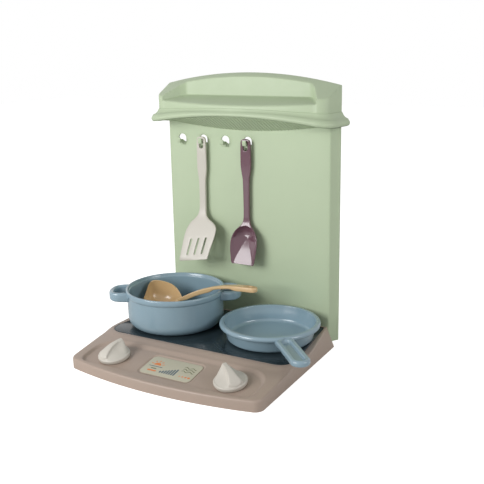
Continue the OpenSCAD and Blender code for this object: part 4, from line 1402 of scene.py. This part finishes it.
class MakeSoffit(bpy.types.Operator):
    """Makes the ribbed plate under the hood"""
    bl_idname = "play_hob.soffit"
    bl_label = "Soffit"

    def execute(self, context):
        s = sizes(context)
        mesh = grown(soffit_tree(finish("green")),
                     {"Rib pitch": s.rib_pitch * MM, "Rib height": s.rib_height * MM})
        mesh.name = "soffit"
        bm = bmesh.new()
        bm.from_mesh(mesh)
        bmesh.ops.recalc_face_normals(bm, faces=bm.faces)
        if sum(f.normal.z for f in bm.faces) > 0:
            bmesh.ops.reverse_faces(bm, faces=bm.faces)
        bm.to_mesh(mesh)
        bm.free()
        dress(walled(mesh, SOFFIT_THICK), "soffit_ribbed_plate", finish("green"), "frame", "green_panel",
              ("hood_soffit",), 60)
        return {"FINISHED"}


class MakeWare(bpy.types.Operator):
    """Makes the pot and the pan"""
    bl_idname = "play_hob.ware"
    bl_label = "Pot and pan"

    def execute(self, context):
        make(pot_skin(), "pot_moulding", finish("ware"), "pot", "blue_ware", ("pot",), 50)
        make(pan_skin(), "pan_moulding", finish("ware"), "pan", "blue_ware", ("pan",), 50)
        return {"FINISHED"}


class MakeUtensils(bpy.types.Operator):
    """Makes the ladle, the spatula and the spoon"""
    bl_idname = "play_hob.utensils"
    bl_label = "Utensils"

    def execute(self, context):
        for name, skin, tone, slot, sharp in (
                ("ladle", ladle_skin(), "ladle", "ladle_beige", 60),
                ("spatula", spatula_skin(), "spatula", "spatula_cream", 60),
                ("spoon", spoon_skin(), "spoon", "spoon_plum", 24)):
            make(skin, name + "_moulding", finish(tone), name, slot, (name,), sharp)
        return {"FINISHED"}


# The stage, in metres, watts and radians. The camera was fitted to the photo.
LIGHT_TARGET = (0, -0.08, 0.16)
KEY = {"place": (-0.66, -1.52, 0.72), "width": 0.95, "height": 0.75, "power": 20}
FILL = {"place": (1.6, -0.2, 0.78), "width": 0.7, "height": 0.6, "power": 7}
ROOM_LIGHT, PAPER_LIGHT, PAPER_LIFT, FLOOR_Z = 0.30, 1.0, 0.78, -0.0004
CAMERA_YAW, CAMERA_PITCH, CAMERA_ROLL = 0.5279, 0.2513, -0.0179
CAMERA_PLACE, LENS_MM, FILM_MM = (0.6375, -1.1106, 0.4877), 58.30, 36.0


def soft_light(name, place, width, height, power):
    """A softbox that faces the object."""
    lamp = bpy.data.lights.new(name, "AREA")
    lamp.shape = "RECTANGLE"
    lamp.size, lamp.size_y = width, height
    lamp.energy = power
    holder = bpy.data.objects.new(name, lamp)
    bpy.context.scene.collection.objects.link(holder)
    holder.location = place
    holder.rotation_euler = (Vector(LIGHT_TARGET) - Vector(place)).to_track_quat("-Z", "Y").to_euler()


def studio_floor(width, colour):
    """A pale floor that the camera sees as brightly lit paper, with the object's soft shadows on it."""
    half = width / 2
    corners = [(x * half, y * half, FLOOR_Z) for x, y in ((-1, -1), (1, -1), (1, 1), (-1, 1))]
    mesh = bpy.data.meshes.new("studio_floor")
    mesh.from_pydata(corners, [], [(0, 1, 2, 3)])
    paint = moulded("painted_studio_floor", colour, 0.75, 6.0, 0.01, level=0.15)
    tree = paint.node_tree
    seen = add(tree, "ShaderNodeLightPath").outputs["Is Camera Ray"]
    lift = add(tree, "ShaderNodeMapRange", {"Value": seen, "To Min": 0.0, "To Max": PAPER_LIFT})
    shader = next(n for n in tree.nodes if n.type == "BSDF_PRINCIPLED")
    shader.inputs["Emission Color"].default_value = (1, 1, 1, 1)
    tree.links.new(lift.outputs[0], shader.inputs["Emission Strength"])
    mesh.materials.append(paint)
    floor = bpy.data.objects.new("studio_floor", mesh)
    bpy.context.scene.collection.objects.link(floor)


def studio_room():
    """White paper to the camera and in reflections, and a softer grey room as a light."""
    world = bpy.data.worlds.new("studio")
    bpy.context.scene.world = world
    world.use_nodes = True
    tree = world.node_tree
    tree.nodes.clear()
    lit = add(tree, "ShaderNodeLightPath").outputs["Is Diffuse Ray"]
    strength = add(tree, "ShaderNodeMapRange", {"Value": lit, "To Min": PAPER_LIGHT, "To Max": ROOM_LIGHT})
    sky = add(tree, "ShaderNodeBackground", {"Color": (1, 1, 1, 1), "Strength": strength.outputs[0]})
    add(tree, "ShaderNodeOutputWorld", {"Surface": sky.outputs[0]})


def photo_camera():
    """A camera that stands and looks as the photo's did."""
    yaw, pitch, roll = CAMERA_YAW, CAMERA_PITCH, CAMERA_ROLL
    ahead = Vector((-math.sin(yaw) * math.cos(pitch), math.cos(yaw) * math.cos(pitch), -math.sin(pitch)))
    right = Vector((math.cos(yaw), math.sin(yaw), 0))
    up = right.cross(ahead)
    across = right * math.cos(roll) + up * math.sin(roll)
    above = up * math.cos(roll) - right * math.sin(roll)
    lens = bpy.data.cameras.new("photo_camera")
    lens.lens, lens.sensor_width = LENS_MM, FILM_MM
    camera = bpy.data.objects.new("photo_camera", lens)
    bpy.context.scene.collection.objects.link(camera)
    turn = Matrix((across, above, -ahead)).transposed().to_4x4()
    camera.matrix_world = Matrix.Translation(CAMERA_PLACE) @ turn
    bpy.context.scene.camera = camera


class MakeStage(bpy.types.Operator):
    """Makes the pale floor, the soft studio light and the camera"""
    bl_idname = "play_hob.stage"
    bl_label = "Stage"

    def execute(self, context):
        studio_floor(sizes(context).floor, tuple(context.scene.play_hob_colours.floor))
        studio_room()
        soft_light("key", **KEY)
        soft_light("fill", **FILL)
        photo_camera()
        context.scene.view_settings.view_transform = "Standard"
        return {"FINISHED"}


class PlayHobPanel(bpy.types.Panel):
    """Lists the pieces and their values"""
    bl_label = "Play hob"
    bl_idname = "VIEW3D_PT_play_hob"
    bl_space_type = "VIEW_3D"
    bl_region_type = "UI"
    bl_category = "Play hob"

    def draw(self, context):
        for group in (context.scene.play_hob_sizes, context.scene.play_hob_colours):
            column = self.layout.column()
            for name in type(group).__annotations__:
                column.prop(group, name)
        for step in STEPS:
            self.layout.operator(step.bl_idname)


STEPS = (MakeBase, MakeHob, MakeLabel, MakeKnobs, FinishFasteners, MakePanel, MakeHood, MakeSoffit, MakeWare,
         MakeUtensils, MakeStage)
GROUPS = (PlayHobSizes, PlayHobColours)


def register():
    for kind in GROUPS + STEPS + (PlayHobPanel,):
        bpy.utils.register_class(kind)
    bpy.types.Scene.play_hob_sizes = bpy.props.PointerProperty(type=PlayHobSizes)
    bpy.types.Scene.play_hob_colours = bpy.props.PointerProperty(type=PlayHobColours)


def unregister():
    del bpy.types.Scene.play_hob_colours
    del bpy.types.Scene.play_hob_sizes
    for kind in reversed(GROUPS + STEPS + (PlayHobPanel,)):
        bpy.utils.unregister_class(kind)


def main():
    register()
    for step in STEPS:
        family, name = step.bl_idname.split(".")
        getattr(getattr(bpy.ops, family), name)()


if __name__ == "__main__":
    main()
